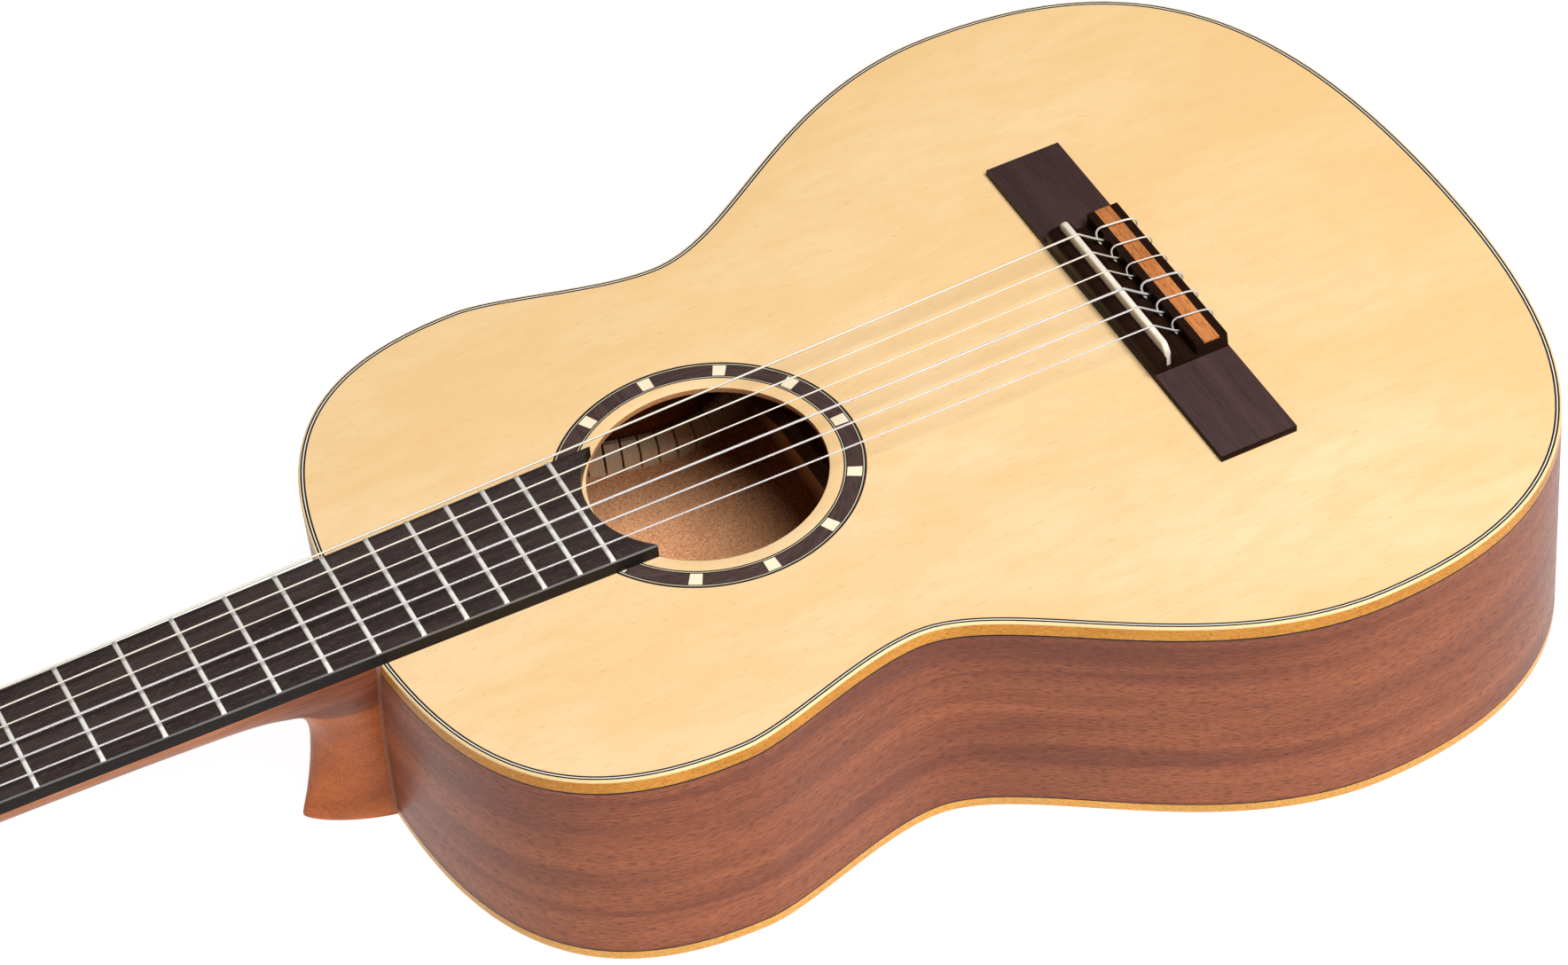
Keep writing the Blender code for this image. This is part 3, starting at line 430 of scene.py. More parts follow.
def board_half(y):
    return NECK_W / 2.0 - (BODY_JOINT_W - NECK_W) / SCALE_LENGTH * y


def half_outline():
    """The half outline on the bass side, from the middle of the front to the tail, in four cubic curves."""
    (x1, y1), (x2, y2), (x3, y3) = UPPER_BOUT, WAIST, LOWER_BOUT
    curves = (
        ((0.0, FRONT_Y), (HANDLES[0][0], FRONT_Y), (x1, y1 + HANDLES[0][1]), UPPER_BOUT),
        (UPPER_BOUT, (x1, y1 - HANDLES[1][0]), (x2, y2 + HANDLES[1][1]), WAIST),
        (WAIST, (x2, y2 - HANDLES[2][0]), (x3, y3 + HANDLES[2][1]), LOWER_BOUT),
        (LOWER_BOUT, (x3, y3 - HANDLES[3][0]), (HANDLES[3][1], TAIL_Y), (0.0, TAIL_Y)),
    )
    points = []
    for curve in curves:
        for t in (k / OUTLINE_STEPS for k in range(OUTLINE_STEPS)):
            s = 1.0 - t
            weights = (s * s * s, 3.0 * s * s * t, 3.0 * s * t * t, t * t * t)
            points.append(tuple(sum(w * p[i] for w, p in zip(weights, curve)) for i in (0, 1)))
    return points + [(0.0, TAIL_Y)]


HALF = half_outline()
OUTLINE = HALF + [(-x, y) for x, y in HALF[-2:0:-1]]


def outline_lengths():
    """The distance along the outline from the middle of the front, the same on both sides."""
    lengths = [0.0]
    for a, b in zip(HALF, HALF[1:]):
        lengths.append(lengths[-1] + hypot(b[0] - a[0], b[1] - a[1]))
    return lengths + lengths[-2:0:-1]


LENGTHS = outline_lengths()


def inward(k):
    """The inward direction at corner k of the outline, lengthened so that the sides move evenly."""
    before = Vector(OUTLINE[k]) - Vector(OUTLINE[k - 1])
    after = Vector(OUTLINE[(k + 1) % len(OUTLINE)]) - Vector(OUTLINE[k])
    first = Vector((before.y, -before.x)).normalized()
    second = Vector((after.y, -after.x)).normalized()
    middle = (first + second).normalized()
    return middle / middle.dot(first)


def inset(distance):
    return [tuple(Vector(p) + inward(k) * distance) for k, p in enumerate(OUTLINE)]


def sweep_body(section, numbers, side=0.0):
    """Sweeps a section of (inset, height) round the body, marking length and height in the grain layer.

    With side 1 or -1 it is swept along that half only, which ends a hair from the middle.
    """
    bm = bmesh.new()
    layer = grain_layer(bm)
    loops = []
    marks = []
    for k in range(len(HALF if side else OUTLINE)):
        step = inward(k)
        loop = []
        for offset, height in section:
            x = OUTLINE[k][0] + step.x * offset
            y = OUTLINE[k][1] + step.y * offset
            z = height_at(height, y)
            loop.append((-x if side < 0.0 else x, y, z))
            marks.append((LENGTHS[k], z, offset))
        loops.append(loop)
    rows = loft(bm, loops, closed=not side, numbers=numbers)
    for vert, mark in zip([v for row in rows for v in row], marks):
        vert[layer] = mark
    if side:
        for vert in rows[0] + rows[-1]:
            vert.co.x = side * GAP / 4.0
    return bm


# ---------------------------------------------------------------- materials


class Nodes:
    """A material with a Principled shader, and short calls that add and link nodes."""

    def __init__(self, name, roughness=0.5, metallic=0.0):
        self.material = bpy.data.materials.new(name)
        self.material.use_nodes = True
        self.tree = self.material.node_tree
        self.shader = self.tree.nodes["Principled BSDF"]
        self.set(roughness=roughness, metallic=metallic)

    def set(self, **values):
        """Values on the shader's own sockets; specular, coat and sheen names are spelt with underscores."""
        for key, value in values.items():
            self.shader.inputs[key.replace("_", " ").title().replace("Ior", "IOR")].default_value = value

    def add(self, kind, values, **props):
        """A node with its properties set, and each input set to a value or linked to a socket."""
        node = self.tree.nodes.new("ShaderNode" + kind)
        for key, value in props.items():
            setattr(node, key, value)
        for key, value in values.items():
            if isinstance(value, bpy.types.NodeSocket):
                self.tree.links.new(value, node.inputs[key])
            else:
                node.inputs[key].default_value = value
        return node

    def finish(self, colour, roughness, height, bump, distance):
        """Links the colour, the roughness and a bump of the surface to the shader."""
        values = {"Height": height, "Strength": bump, "Distance": distance * MM}
        normal = self.add("Bump", values).outputs["Normal"]
        for socket, name in ((colour, "Base Color"), (roughness, "Roughness"), (normal, "Normal")):
            self.tree.links.new(socket, self.shader.inputs[name])

    def grain(self, scale, offset=(0.0, 0.0, 0.0)):
        """The grain attribute in millimetres, times scale."""
        source = self.add("Attribute", {}, attribute_name="grain").outputs["Vector"]
        return self.add("Mapping", {"Vector": source, "Scale": scale, "Location": offset}).outputs["Vector"]

    def object(self, scale, offset=(0.0, 0.0, 0.0)):
        """Object coordinates in millimetres, times scale."""
        source = self.add("TexCoord", {}).outputs["Object"]
        scale = tuple(s / MM for s in scale)
        return self.add("Mapping", {"Vector": source, "Scale": scale, "Location": offset}).outputs["Vector"]

    def noise(self, vector, detail=4.0, roughness=0.55, distortion=0.0):
        values = {"Vector": vector, "Scale": 1.0, "Detail": detail, "Roughness": roughness}
        return self.add("TexNoise", {**values, "Distortion": distortion}).outputs["Fac"]

    def ramp(self, fac, *stops):
        """A colour or grey ramp. stops are (position, colour or grey)."""
        node = self.add("ValToRGB", {"Fac": fac})
        for element, (position, colour) in zip(node.color_ramp.elements, stops):
            element.position = position
            element.color = (*colour, 1.0) if isinstance(colour, tuple) else (colour, colour, colour, 1.0)
        return node.outputs["Color"]

    def mix(self, fac, below, above):
        """The socket below covered by the colour or socket above."""
        if isinstance(above, tuple):
            above = (*above, 1.0)
        return self.add("Mix", {0: fac, 6: below, 7: above}, data_type="RGBA").outputs[2]

    def math(self, operation, a, b=0.0, clamp=False):
        return self.add("Math", {0: a, 1: b}, operation=operation, use_clamp=clamp).outputs[0]

    def weigh(self, a, share_a, b, share_b):
        return self.math("ADD", self.math("MULTIPLY", a, share_a), self.math("MULTIPLY", b, share_b))


def wood(name, light, dark, fibre, pores, figure, rough, bump, coat=0.0, pore_colour=None, coords="grain",
         distortion=0.0, patches=(), golden=(), spread=0.14, specular=0.3):
    """A wood: fine fibres along the grain, dark pores, and slow bands of colour.

    fibre, pores and figure are (share, scale along, scale across) with scales in cycles per millimetre, and
    pores has the noise level at which a pore starts as a fourth number. rough is the lowest and highest
    roughness. patches are clouds of another tint, and a list of axes gives painted shade: where the colour
    deepens to a gold tint, standing in for light falling off across the board.
    """
    m = Nodes(name)
    vector = m.grain if coords == "grain" else m.object
    fine = m.noise(vector((fibre[1], fibre[2], fibre[2])), 5.0, 0.6, distortion)
    slow = m.noise(vector((figure[1], figure[2], figure[2]), (3.1, 7.7, 1.3)), 3.0, 0.5, 0.6)
    tone = m.math("DIVIDE", m.weigh(fine, fibre[0], slow, figure[0]), fibre[0] + figure[0])
    colour = m.ramp(tone, (0.5 - spread, dark), (0.5 + spread, light))
    for number, (along, across, tint, amount) in enumerate(patches):
        cloud = m.noise(vector((along, across, across), (11.0 + 5.0 * number, 2.0, 5.0)), 3.0, 0.5, 0.4)
        colour = m.mix(m.ramp(cloud, (0.42, 0.0), (0.66, amount)), colour, tint)
    holes = m.noise(vector((pores[1], pores[2], pores[2]), (0.7, 0.2, 9.1)), 2.0, 0.5)
    pore = m.ramp(holes, (pores[3], 0.0), (pores[3] + 0.09, pores[0]))
    colour = m.mix(pore, colour, pore_colour or tuple(c * 0.35 for c in dark))
    # Painted shade: by its place on the object the colour deepens to a gold tint, standing in for light
    # falling off.
    if golden:
        axes = m.add("SeparateXYZ", {0: m.add("TexCoord", {}).outputs["Object"]})
        ramps = []
        for axis, start, end, most in golden:
            values = {"Value": axes.outputs[axis], "From Min": start, "From Max": end, "To Max": most}
            ramps.append(m.add("MapRange", values).outputs[0])
        colour = m.mix(m.math("ADD", *ramps), colour, PAINTED_SHADE_TINT)
    uneven = m.math("ADD", fine, m.math("MULTIPLY", pore, 0.5))
    height = m.math("SUBTRACT", m.math("MULTIPLY", fine, 0.4), pore)
    m.finish(colour, m.ramp(uneven, (0.3, rough[0]), (0.8, rough[1])), height, bump, 0.05)
    m.set(specular_ior_level=specular)
    if coat:
        m.set(coat_weight=coat, coat_roughness=0.12)
    return m.material


def plain(name, light, dark, rough, scale, metallic=0.0, subsurface=0.0):
    """Metal, bone or plastic with slow colour variation and a faint unevenness."""
    detail, edge, finer, bump = (5.0, 0.25, 6.0, 0.06) if metallic else (4.0, 0.3, 5.0, 0.05)
    m = Nodes(name, metallic=metallic)
    cloud = m.noise(m.object(scale), detail, 0.6 if metallic else 0.55)
    height = m.noise(m.object(tuple(finer * s for s in scale)), 3.0)
    roughness = m.ramp(cloud, (edge, rough[1]), (1.0 - edge, rough[0]))
    m.finish(m.ramp(cloud, (0.3, dark), (0.7, light)), roughness, height, bump, 0.03)
    if subsurface:
        m.set(subsurface_weight=subsurface, subsurface_radius=(0.001, 0.0007, 0.0004))
    return m.material


def wound_string():
    """Fine turns of silvered wire."""
    m = Nodes("wound_fine", metallic=0.25)
    wave = {"Vector": m.grain((1.0, 0.0, 0.0)), "Scale": 1.1, "Distortion": 0.0}
    turns = m.add("TexWave", wave, wave_type="BANDS", bands_direction="X").outputs["Fac"]
    colour = m.ramp(turns, (0.0, (0.66, 0.59, 0.48)), (0.6, (0.76, 0.69, 0.58)))
    m.finish(colour, m.ramp(turns, (0.0, 0.5), (1.0, 0.42)), turns, 0.04, 0.05)
    return m.material


def nylon_string():
    """Clear and slightly milky nylon."""
    m = Nodes("nylon_fine")
    cloud = m.noise(m.grain((0.05, 0.6, 0.6)), 3.0)
    colour = m.ramp(cloud, (0.3, (0.72, 0.68, 0.68)), (0.7, (0.86, 0.83, 0.82)))
    m.finish(colour, m.ramp(cloud, (0.3, 0.16), (0.7, 0.28)), cloud, 0.05, 0.03)
    m.set(transmission_weight=0.35)
    return m.material


def neck_stuff():
    """The neck's shaft with painted light towards the head and painted shade near the heel, the glued-on heel
    with its lighter and more orange wood, and a painted highlight along the joint with the ribs.
    """
    m = Nodes("neck_wood_fine")
    place = m.add("SeparateXYZ", {"Vector": m.grain((1.0, 1.0, 1.0))}).outputs
    fibres = m.noise(m.grain((0.03, 0.9, 0.9)), 5.0, 0.6)
    bands = m.noise(m.grain((0.006, 0.09, 0.09), (2.0, 0.0, 4.0)), 3.0)
    tone = m.weigh(fibres, 0.6, bands, 0.4)
    shaft = m.ramp(tone, (0.38, (0.13, 0.03, 0.0105)), (0.62, (0.285, 0.07, 0.022)))
    pale = m.ramp(tone, (0.38, (0.29, 0.105, 0.05)), (0.62, (0.56, 0.215, 0.095)))
    # Painted light: the shaft is made paler away from the body, standing in for light from the floor and its
    # reflection, and stays darker near the heel as painted shade.
    away = m.math("MULTIPLY", m.math("ADD", place["X"], -PAINTED_LIGHT_FROM_Y), 0.02, clamp=True)
    shaft = m.mix(away, shaft, pale)
    speckle = m.noise(m.grain((0.9, 1.1, 1.1), (5.0, 1.0, 0.0)), 5.0, 0.75)
    heel_bands = m.noise(m.grain((0.02, 0.1, 0.1), (8.0, 3.0, 1.0)), 3.0)
    heel_tone = m.weigh(speckle, 0.6, heel_bands, 0.4)
    heel = m.ramp(heel_tone, (0.37, (0.32, 0.07, 0.014)), (0.63, (0.62, 0.165, 0.035)))
    below = m.math("SUBTRACT", GLUE_LINE_Z, place["Z"])
    rear = m.math("MULTIPLY", m.math("SUBTRACT", -150.0, place["X"]), 0.05, clamp=True)
    colour = m.mix(m.math("MULTIPLY", m.math("MULTIPLY", below, 4.0, clamp=True), rear), shaft, heel)
    line = m.math("SUBTRACT", 1.0, m.math("MULTIPLY", m.math("ABSOLUTE", below), 2.6), clamp=True)
    colour = m.mix(m.math("MULTIPLY", m.math("MULTIPLY", line, rear), 0.45), colour, (0.16, 0.05, 0.02))
    holes = m.noise(m.grain((0.32, 2.6, 2.6), (0.7, 0.2, 9.1)), 2.0, 0.5)
    pore = m.ramp(holes, (0.6, 0.0), (0.7, 0.55))
    colour = m.mix(pore, colour, (0.15, 0.035, 0.012))
    # Painted highlight: a grey-mauve reflection along the heel's joint with the ribs.
    seam_highlight = m.math("MULTIPLY", m.math("SUBTRACT", FRONT_Y + SEAM_HIGHLIGHT_WIDTH, place["X"]), 2.0, clamp=True)
    colour = m.mix(m.math("MULTIPLY", seam_highlight, 0.6), colour, (0.34, 0.2, 0.15))
    height = m.math("SUBTRACT", m.math("MULTIPLY", fibres, 0.4), pore)
    m.finish(colour, m.ramp(m.math("ADD", speckle, pore), (0.3, 0.34), (0.9, 0.5)), height, 0.1, 0.05)
    m.set(specular_ior_level=0.2)
    return m.material


# Painted shade on the soundboard, which deepens to a gold tint towards the far side and the tail as light
# falls off: an axis, its start and end along it in metres, and how far it goes
PAINTED_SHADE_TINT = (0.88, 0.56, 0.22)
PAINTED_SHADE_SIDES = (("X", -0.1, 0.19, 0.3), ("Y", -0.22, -0.5, 0.34))

# Grain that several woods share
MAPLE = ((0.6, 0.35, 0.9), (0.5, 0.8, 1.5, 0.56), (0.4, 0.03, 0.1), (0.28, 0.42), 0.06)
LINE = ((0.6, 0.05, 1.2), (0.15, 0.4, 2.0, 0.62), (0.4, 0.02, 0.1), (0.35, 0.5), 0.05)
BRIDGE = ((0.5, 0.05, 1.3), (0.5, 0.25, 2.0, 0.59), (0.5, 0.012, 0.12))

# What wood() takes after the name: light, dark, fibre, pores, figure, rough, bump, and any other settings
WOODS = {
    "spruce": (
        (0.92, 0.7, 0.43), (0.84, 0.58, 0.3), (0.3, 0.02, 0.9), (0.62, 0.16, 1.5, 0.655),
        (0.55, 0.01, 0.016), (0.36, 0.48), 0.04,
        dict(
            pore_colour=(0.6, 0.33, 0.12), spread=0.17, specular=0.25, golden=PAINTED_SHADE_SIDES,
            patches=((0.0055, 0.02, (0.83, 0.5, 0.2), 0.46), (0.05, 0.14, (0.8, 0.5, 0.22), 0.32)),
        ),
    ),
    "brace": (
        (0.72, 0.5, 0.28), (0.55, 0.36, 0.18), (0.6, 0.03, 0.9), (0.3, 0.2, 1.6, 0.62), (0.4, 0.01, 0.06),
        (0.6, 0.75), 0.2, dict(coords="object"),
    ),
    "mahogany": (
        (0.426, 0.13, 0.054), (0.225, 0.06, 0.029), (0.42, 0.06, 1.5), (0.58, 0.26, 2.3, 0.51),
        (0.58, 0.0042, 0.085), (0.3, 0.44), 0.1,
        dict(
            pore_colour=(0.085, 0.025, 0.016), distortion=0.3, spread=0.12, specular=0.2,
            patches=((0.005, 0.06, (0.15, 0.044, 0.029), 0.4),),
        ),
    ),
    "inside": (
        (1.0, 0.53, 0.27), (0.68, 0.29, 0.135), (0.7, 0.95, 1.2), (0.55, 1.2, 1.5, 0.55),
        (0.25, 0.03, 0.03), (0.7, 0.85), 0.3,
        dict(pore_colour=(0.26, 0.09, 0.04), specular=0.1, spread=0.11),
    ),
    "rim": (
        (0.56, 0.26, 0.11), (0.38, 0.16, 0.065), (0.6, 0.5, 1.4), (0.4, 0.8, 1.6, 0.58), (0.3, 0.03, 0.06),
        (0.6, 0.75), 0.2, dict(specular=0.1),
    ),
    # Painted shade: a dark brown for the soundboard's underside and the ribs' inner faces, darker than their
    # bare wood, to keep the inside of the body dim
    "hollow": (
        (0.2, 0.075, 0.036), (0.11, 0.038, 0.019), (0.5, 0.06, 1.2), (0.5, 0.25, 1.7, 0.56),
        (0.5, 0.01, 0.05), (0.7, 0.85), 0.2, dict(specular=0.1),
    ),
    "maple_side": (
        (0.74, 0.325, 0.055), (0.5, 0.195, 0.024), *MAPLE,
        dict(pore_colour=(0.25, 0.085, 0.015), specular=0.13),
    ),
    "maple_back": (
        (0.93, 0.47, 0.1), (0.72, 0.34, 0.06), *MAPLE, dict(pore_colour=(0.35, 0.13, 0.02), specular=0.2),
    ),
    "maple_top": (
        (0.94, 0.7, 0.38), (0.84, 0.6, 0.29), (0.6, 0.05, 0.8), (0.2, 0.4, 1.4, 0.62), (0.4, 0.01, 0.05),
        (0.28, 0.42), 0.05, {},
    ),
    "black_line": (
        (0.025, 0.02, 0.018), (0.012, 0.01, 0.009), (0.6, 0.05, 1.2), (0.2, 0.4, 2.0, 0.62),
        (0.4, 0.02, 0.1), (0.4, 0.55), 0.05, dict(specular=0.15),
    ),
    "white_line": (
        (0.93, 0.89, 0.8), (0.86, 0.8, 0.69), *LINE, dict(pore_colour=(0.6, 0.5, 0.36)),
    ),
    "tan_line": (
        (0.58, 0.52, 0.38), (0.46, 0.4, 0.28), *LINE, dict(pore_colour=(0.4, 0.33, 0.22)),
    ),
    "lining": (
        (1.0, 0.86, 0.64), (0.86, 0.7, 0.48), (0.6, 0.05, 1.0), (0.3, 0.3, 1.8, 0.6), (0.4, 0.01, 0.06),
        (0.65, 0.8), 0.2, {},
    ),
    "block": (
        (0.5, 0.25, 0.13), (0.33, 0.14, 0.07), (0.6, 0.05, 0.8), (0.5, 0.3, 2.0, 0.58), (0.4, 0.01, 0.06),
        (0.65, 0.8), 0.2, dict(coords="object"),
    ),
    "board": (
        (0.056, 0.039, 0.036), (0.02, 0.0135, 0.013), (0.5, 0.1, 1.5), (0.5, 0.35, 1.8, 0.585),
        (0.5, 0.008, 0.08), (0.42, 0.6), 0.16, dict(pore_colour=(0.115, 0.072, 0.056), specular=0.25),
    ),
    "board_side": (
        (0.018, 0.014, 0.012), (0.008, 0.006, 0.0055), (0.5, 0.05, 1.0), (0.3, 0.3, 2.0, 0.6),
        (0.5, 0.01, 0.08), (0.3, 0.45), 0.08, dict(pore_colour=(0.05, 0.03, 0.02), specular=0.12),
    ),
    # Painted highlight: a light grey on the bevels along the board's top edges, standing in for their sheen
    "board_edge": (
        (0.16, 0.15, 0.145), (0.1, 0.09, 0.085), (0.5, 0.05, 1.0), (0.2, 0.3, 2.0, 0.62), (0.5, 0.01, 0.08),
        (0.25, 0.4), 0.05, {},
    ),
    "bridge": (
        (0.072, 0.036, 0.034), (0.042, 0.023, 0.023), *BRIDGE, (0.35, 0.52), 0.15,
        dict(pore_colour=(0.02, 0.01, 0.01)),
    ),
    # Dark wood of the ridge and the tie block, also laid on the wings' side faces as painted shade
    "bridge_dark": (
        (0.022, 0.009, 0.005), (0.013, 0.006, 0.004), *BRIDGE, (0.26, 0.34), 0.04,
        dict(pore_colour=(0.01, 0.005, 0.004), specular=0.04),
    ),
    "veneer": (
        (0.13, 0.055, 0.038), (0.04, 0.017, 0.014), (0.5, 0.02, 0.8), (0.5, 0.2, 2.0, 0.6),
        (0.5, 0.006, 0.09), (0.22, 0.35), 0.06, dict(coat=0.4, pore_colour=(0.02, 0.01, 0.01)),
    ),
    "rosette": (
        (0.105, 0.062, 0.054), (0.034, 0.021, 0.021), (0.6, 0.05, 1.3), (0.3, 0.4, 3.0, 0.6),
        (0.4, 0.02, 0.2), (0.32, 0.45), 0.05, {},
    ),
    "tab": (
        (0.97, 0.84, 0.63), (0.92, 0.77, 0.53), (0.6, 0.05, 1.2), (0.3, 0.3, 2.0, 0.6), (0.4, 0.02, 0.2),
        (0.32, 0.45), 0.05, {},
    ),
    "orange": (
        (0.66, 0.25, 0.075), (0.4, 0.13, 0.036), (0.6, 0.05, 1.2), (0.5, 0.3, 1.6, 0.56), (0.4, 0.02, 0.15),
        (0.35, 0.5), 0.1, dict(specular=0.2),
    ),
}

# What plain() takes after the name: light, dark, rough, scale, metallic, subsurface
PLAIN = {
    "bone": ((0.86, 0.79, 0.68), (0.76, 0.67, 0.54), (0.28, 0.42), (0.12, 0.5, 0.5), 0.0, 0.15),
    "roller": ((0.9, 0.86, 0.76), (0.8, 0.75, 0.62), (0.25, 0.4), (0.3, 0.3, 0.3), 0.0, 0.1),
    "pearl": ((0.93, 0.91, 0.86), (0.74, 0.73, 0.7), (0.12, 0.26), (0.12, 0.16, 0.1), 0.0, 0.2),
    "fret": ((0.93, 0.89, 0.83), (0.84, 0.8, 0.74), (0.34, 0.44), (0.12, 0.3, 0.3), 0.18),
    "brass": ((0.86, 0.68, 0.34), (0.66, 0.48, 0.2), (0.2, 0.36), (0.08, 0.3, 0.3), 1.0),
    "steel": ((0.72, 0.7, 0.66), (0.5, 0.48, 0.45), (0.24, 0.42), (0.5, 0.5, 0.5), 1.0),
}

MATS = {"neck": neck_stuff(), "wound": wound_string(), "nylon": nylon_string()}
for key, (*looks, more) in WOODS.items():
    MATS[key] = wood(key + "_fine", *looks, **more)
for key, looks in PLAIN.items():
    MATS[key] = plain(key + "_fine", *looks)


# ---------------------------------------------------------------- body


def make_soundboard():
    """The board with its soundhole and the channel for the rosette, swept round the soundhole's centre."""
    inner, outer = ROSETTE[0][0], ROSETTE[-1][1]
    low = -ROSETTE_DEPTH - GAP
    section = (
        (HOLE_R + 0.15, -TOP_THICK), (HOLE_R, -TOP_THICK + 0.15), (HOLE_R, -0.35), (HOLE_R + 0.1, -0.1),
        (HOLE_R + 0.35, 0.0), (inner, 0.0), (inner, low), (outer, low), (outer, 0.0),
    )
    loops = []
    for x, y in inset(PURFLING[-1] + 0.02):
        angle = atan2(y - HOLE_Y, x)
        loop = [(radius * cos(angle), HOLE_Y + radius * sin(angle), z) for radius, z in section]
        loops.append(loop + [(x, y, 0.0), (x, y, -TOP_THICK)])
    # The soundboard's underside takes the dark painted shade of the body's inside.
    bm = lofted(loops, closed=True, numbers=[1, 1, 1] + [0] * 7 + [2])
    piece("soundboard", bm, "spruce rim hollow", grain_mirrored)


def make_rosette():
    """Purfling rings round a band of dark wood with light tabs. The band's grain runs across it in pieces."""
    bm = bmesh.new()
    layer = grain_layer(bm)
    names = ["black_line", "tan_line", "rosette", "tab"]
    gap = 2.0 * pi / TABS - 2.0 * TAB_HALF_ANGLE
    angles = []
    for middle in (2.0 * pi * tab / TABS for tab in range(TABS)):
        angles += [(middle - TAB_HALF_ANGLE + TAB_HALF_ANGLE * k / 2.0, True) for k in range(4)]
        angles += [(middle + TAB_HALF_ANGLE + gap * k / ROSETTE_STRIPS, False) for k in range(ROSETTE_STRIPS)]
    corners = [(ROSETTE[0][0], 0.0)] + [(ring[1], 0.0) for ring in ROSETTE]
    corners += [(ROSETTE[-1][1], -ROSETTE_DEPTH), (ROSETTE[0][0], -ROSETTE_DEPTH)]
    rows = []
    for angle, _ in angles:
        rows.append([])
        for radius, z in corners:
            vert = bm.verts.new((radius * cos(angle), HOLE_Y + radius * sin(angle), z))
            vert[layer] = (radius + 12.0 * sin(37.0 * angle), radius * angle, z)
            rows[-1].append(vert)
    count = len(corners)
    for (_, tab), low, high in zip(angles, rows, rows[1:] + rows[:1]):
        for j in range(count):
            face = bm.faces.new((low[j], low[(j + 1) % count], high[(j + 1) % count], high[j]))
            name = ROSETTE[j][2] if j < len(ROSETTE) else "rosette"
            face.material_index = names.index("tab" if tab and name == "rosette" else name)
    bmesh.ops.recalc_face_normals(bm, faces=bm.faces)
    piece("rosette", bm, " ".join(names))


def make_bindings():
    """The binding and purfling strips round both edges, with the dark line that borders each binding."""
    foot = -TOP_BINDING_HEIGHT
    section = [(0.0, foot), (0.0, foot + DARK_LINE), (0.0, -0.9), (0.12, -0.35), (0.32, -0.12), (0.65, 0.0)]
    section += [(across, 0.0) for across in PURFLING]
    section += [(PURFLING[-1], -TOP_THICK), (BINDING_THICK, -TOP_THICK), (BINDING_THICK, foot)]
    top = sweep_body(section, [2, 0, 1, 1, 1, 1, 2, 3, 2, 0, 0, 0, 0])
    piece("top_binding", top, "maple_side maple_top black_line white_line")
    low, high = back_z(0.0), back_z(BACK_BINDING_HEIGHT)
    line = back_z(BACK_BINDING_HEIGHT - 0.6)
    section = [(0.0, back_z(0.6)), (0.0, line), (0.0, high), (BINDING_THICK, high), (BINDING_THICK, low)]
    section += [(0.6, low), (0.18, back_z(0.18))]
    piece("back_binding", sweep_body(section, [0, 1, 0, 0, 0, 0, 0]), "maple_back black_line")


def make_back():
    """The back, cut along its middle so that its halves' grain mirrors, with rougher wood on the inside."""
    bm = prism(inset(BINDING_THICK + 0.02), back_z(0.0), back_z(BACK_THICK))
    everything = bm.verts[:] + bm.edges[:] + bm.faces[:]
    across = Vector((1.0, 0.0, 0.0))
    bmesh.ops.bisect_plane(bm, geom=everything, dist=0.001, plane_co=across * 0.0, plane_no=across)
    for face in bm.faces:
        middle = face.calc_center_median()
        face.material_index = 1 if middle.z > back_z(BACK_THICK - 0.3)(middle.y) else 0
    piece("back", bm, "mahogany inside", grain_mirrored)


def make_ribs():
    low, high = back_z(BACK_BINDING_HEIGHT), -TOP_BINDING_HEIGHT
    section = ((0.0, low), (0.0, high), (RIB_THICK, high), (RIB_THICK, low))
    # The ribs' inner faces take the dark painted shade of the body's inside.
    for name, side in (("rib_bass", 1.0), ("rib_treble", -1.0)):
        piece(name, sweep_body(section, [0, 0, 1, 0], side), "mahogany hollow")


def kerfed_block(bm, layer, section, start, mirror):
    """One block of a kerfed lining, from start along the outline, unless it would run into the neck block."""
    loops = []
    for s in (start, start + KERF_PITCH - KERF):
        k = next(i for i in range(len(HALF)) if LENGTHS[i] > s)
        t = (s - LENGTHS[k - 1]) / (LENGTHS[k] - LENGTHS[k - 1])
        p = Vector(HALF[k - 1]).lerp(Vector(HALF[k]), t)
        if abs(p.x) < BLOCK_HALF_WIDTH + 3.0 and p.y > WAIST[1]:
            return
        step = inward(k - 1).lerp(inward(k), t)
        spots = [(p + step * offset, height) for offset, height in section]
        loops.append([(mirror * spot.x, spot.y, height_at(height, spot.y)) for spot, height in spots])
    for row, s in zip(loft(bm, loops), (start, start + KERF_PITCH)):
        for vert in row:
            vert[layer] = (vert.co.z * 1.3, s + 3.0 * start, vert.co.z * 0.2)


def make_linings():
    """Kerfed linings: a row of small blocks round each edge inside the body."""
    near, far = RIB_THICK + 0.05, RIB_THICK + LINING_WIDTH
    top = -TOP_THICK - 0.02
    heights = {
        "top_lining": (top, top - LINING_HEIGHT, top - LINING_HEIGHT * 0.45),
        "back_lining": [back_z(BACK_THICK + above) for above in (0.02, LINING_HEIGHT, LINING_HEIGHT * 0.62)],
    }
    for name, (flat, tip, shoulder) in heights.items():
        section = ((near, flat), (near, tip), (near + LINING_TIP, tip), (far, shoulder), (far, flat))
        bm = bmesh.new()
        layer = grain_layer(bm)
        for mirror in (1.0, -1.0):
            along = KERF_PITCH
            while along < LENGTHS[len(HALF) - 1] - KERF_PITCH:
                kerfed_block(bm, layer, section, along, mirror)
                along += KERF_PITCH
        piece(name, bm, "lining")


def carry_over():
    """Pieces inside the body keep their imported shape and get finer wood."""
    for wood_name, nodes in (("block", "neck_block tail_block"),
                             ("brace", "harmonic_bar_upper harmonic_bar_lower fan_bracing back_bracing")):
        for node in nodes.split():
            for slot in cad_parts[node].material_slots:
                slot.material = MATS[wood_name]


# ---------------------------------------------------------------- neck and head


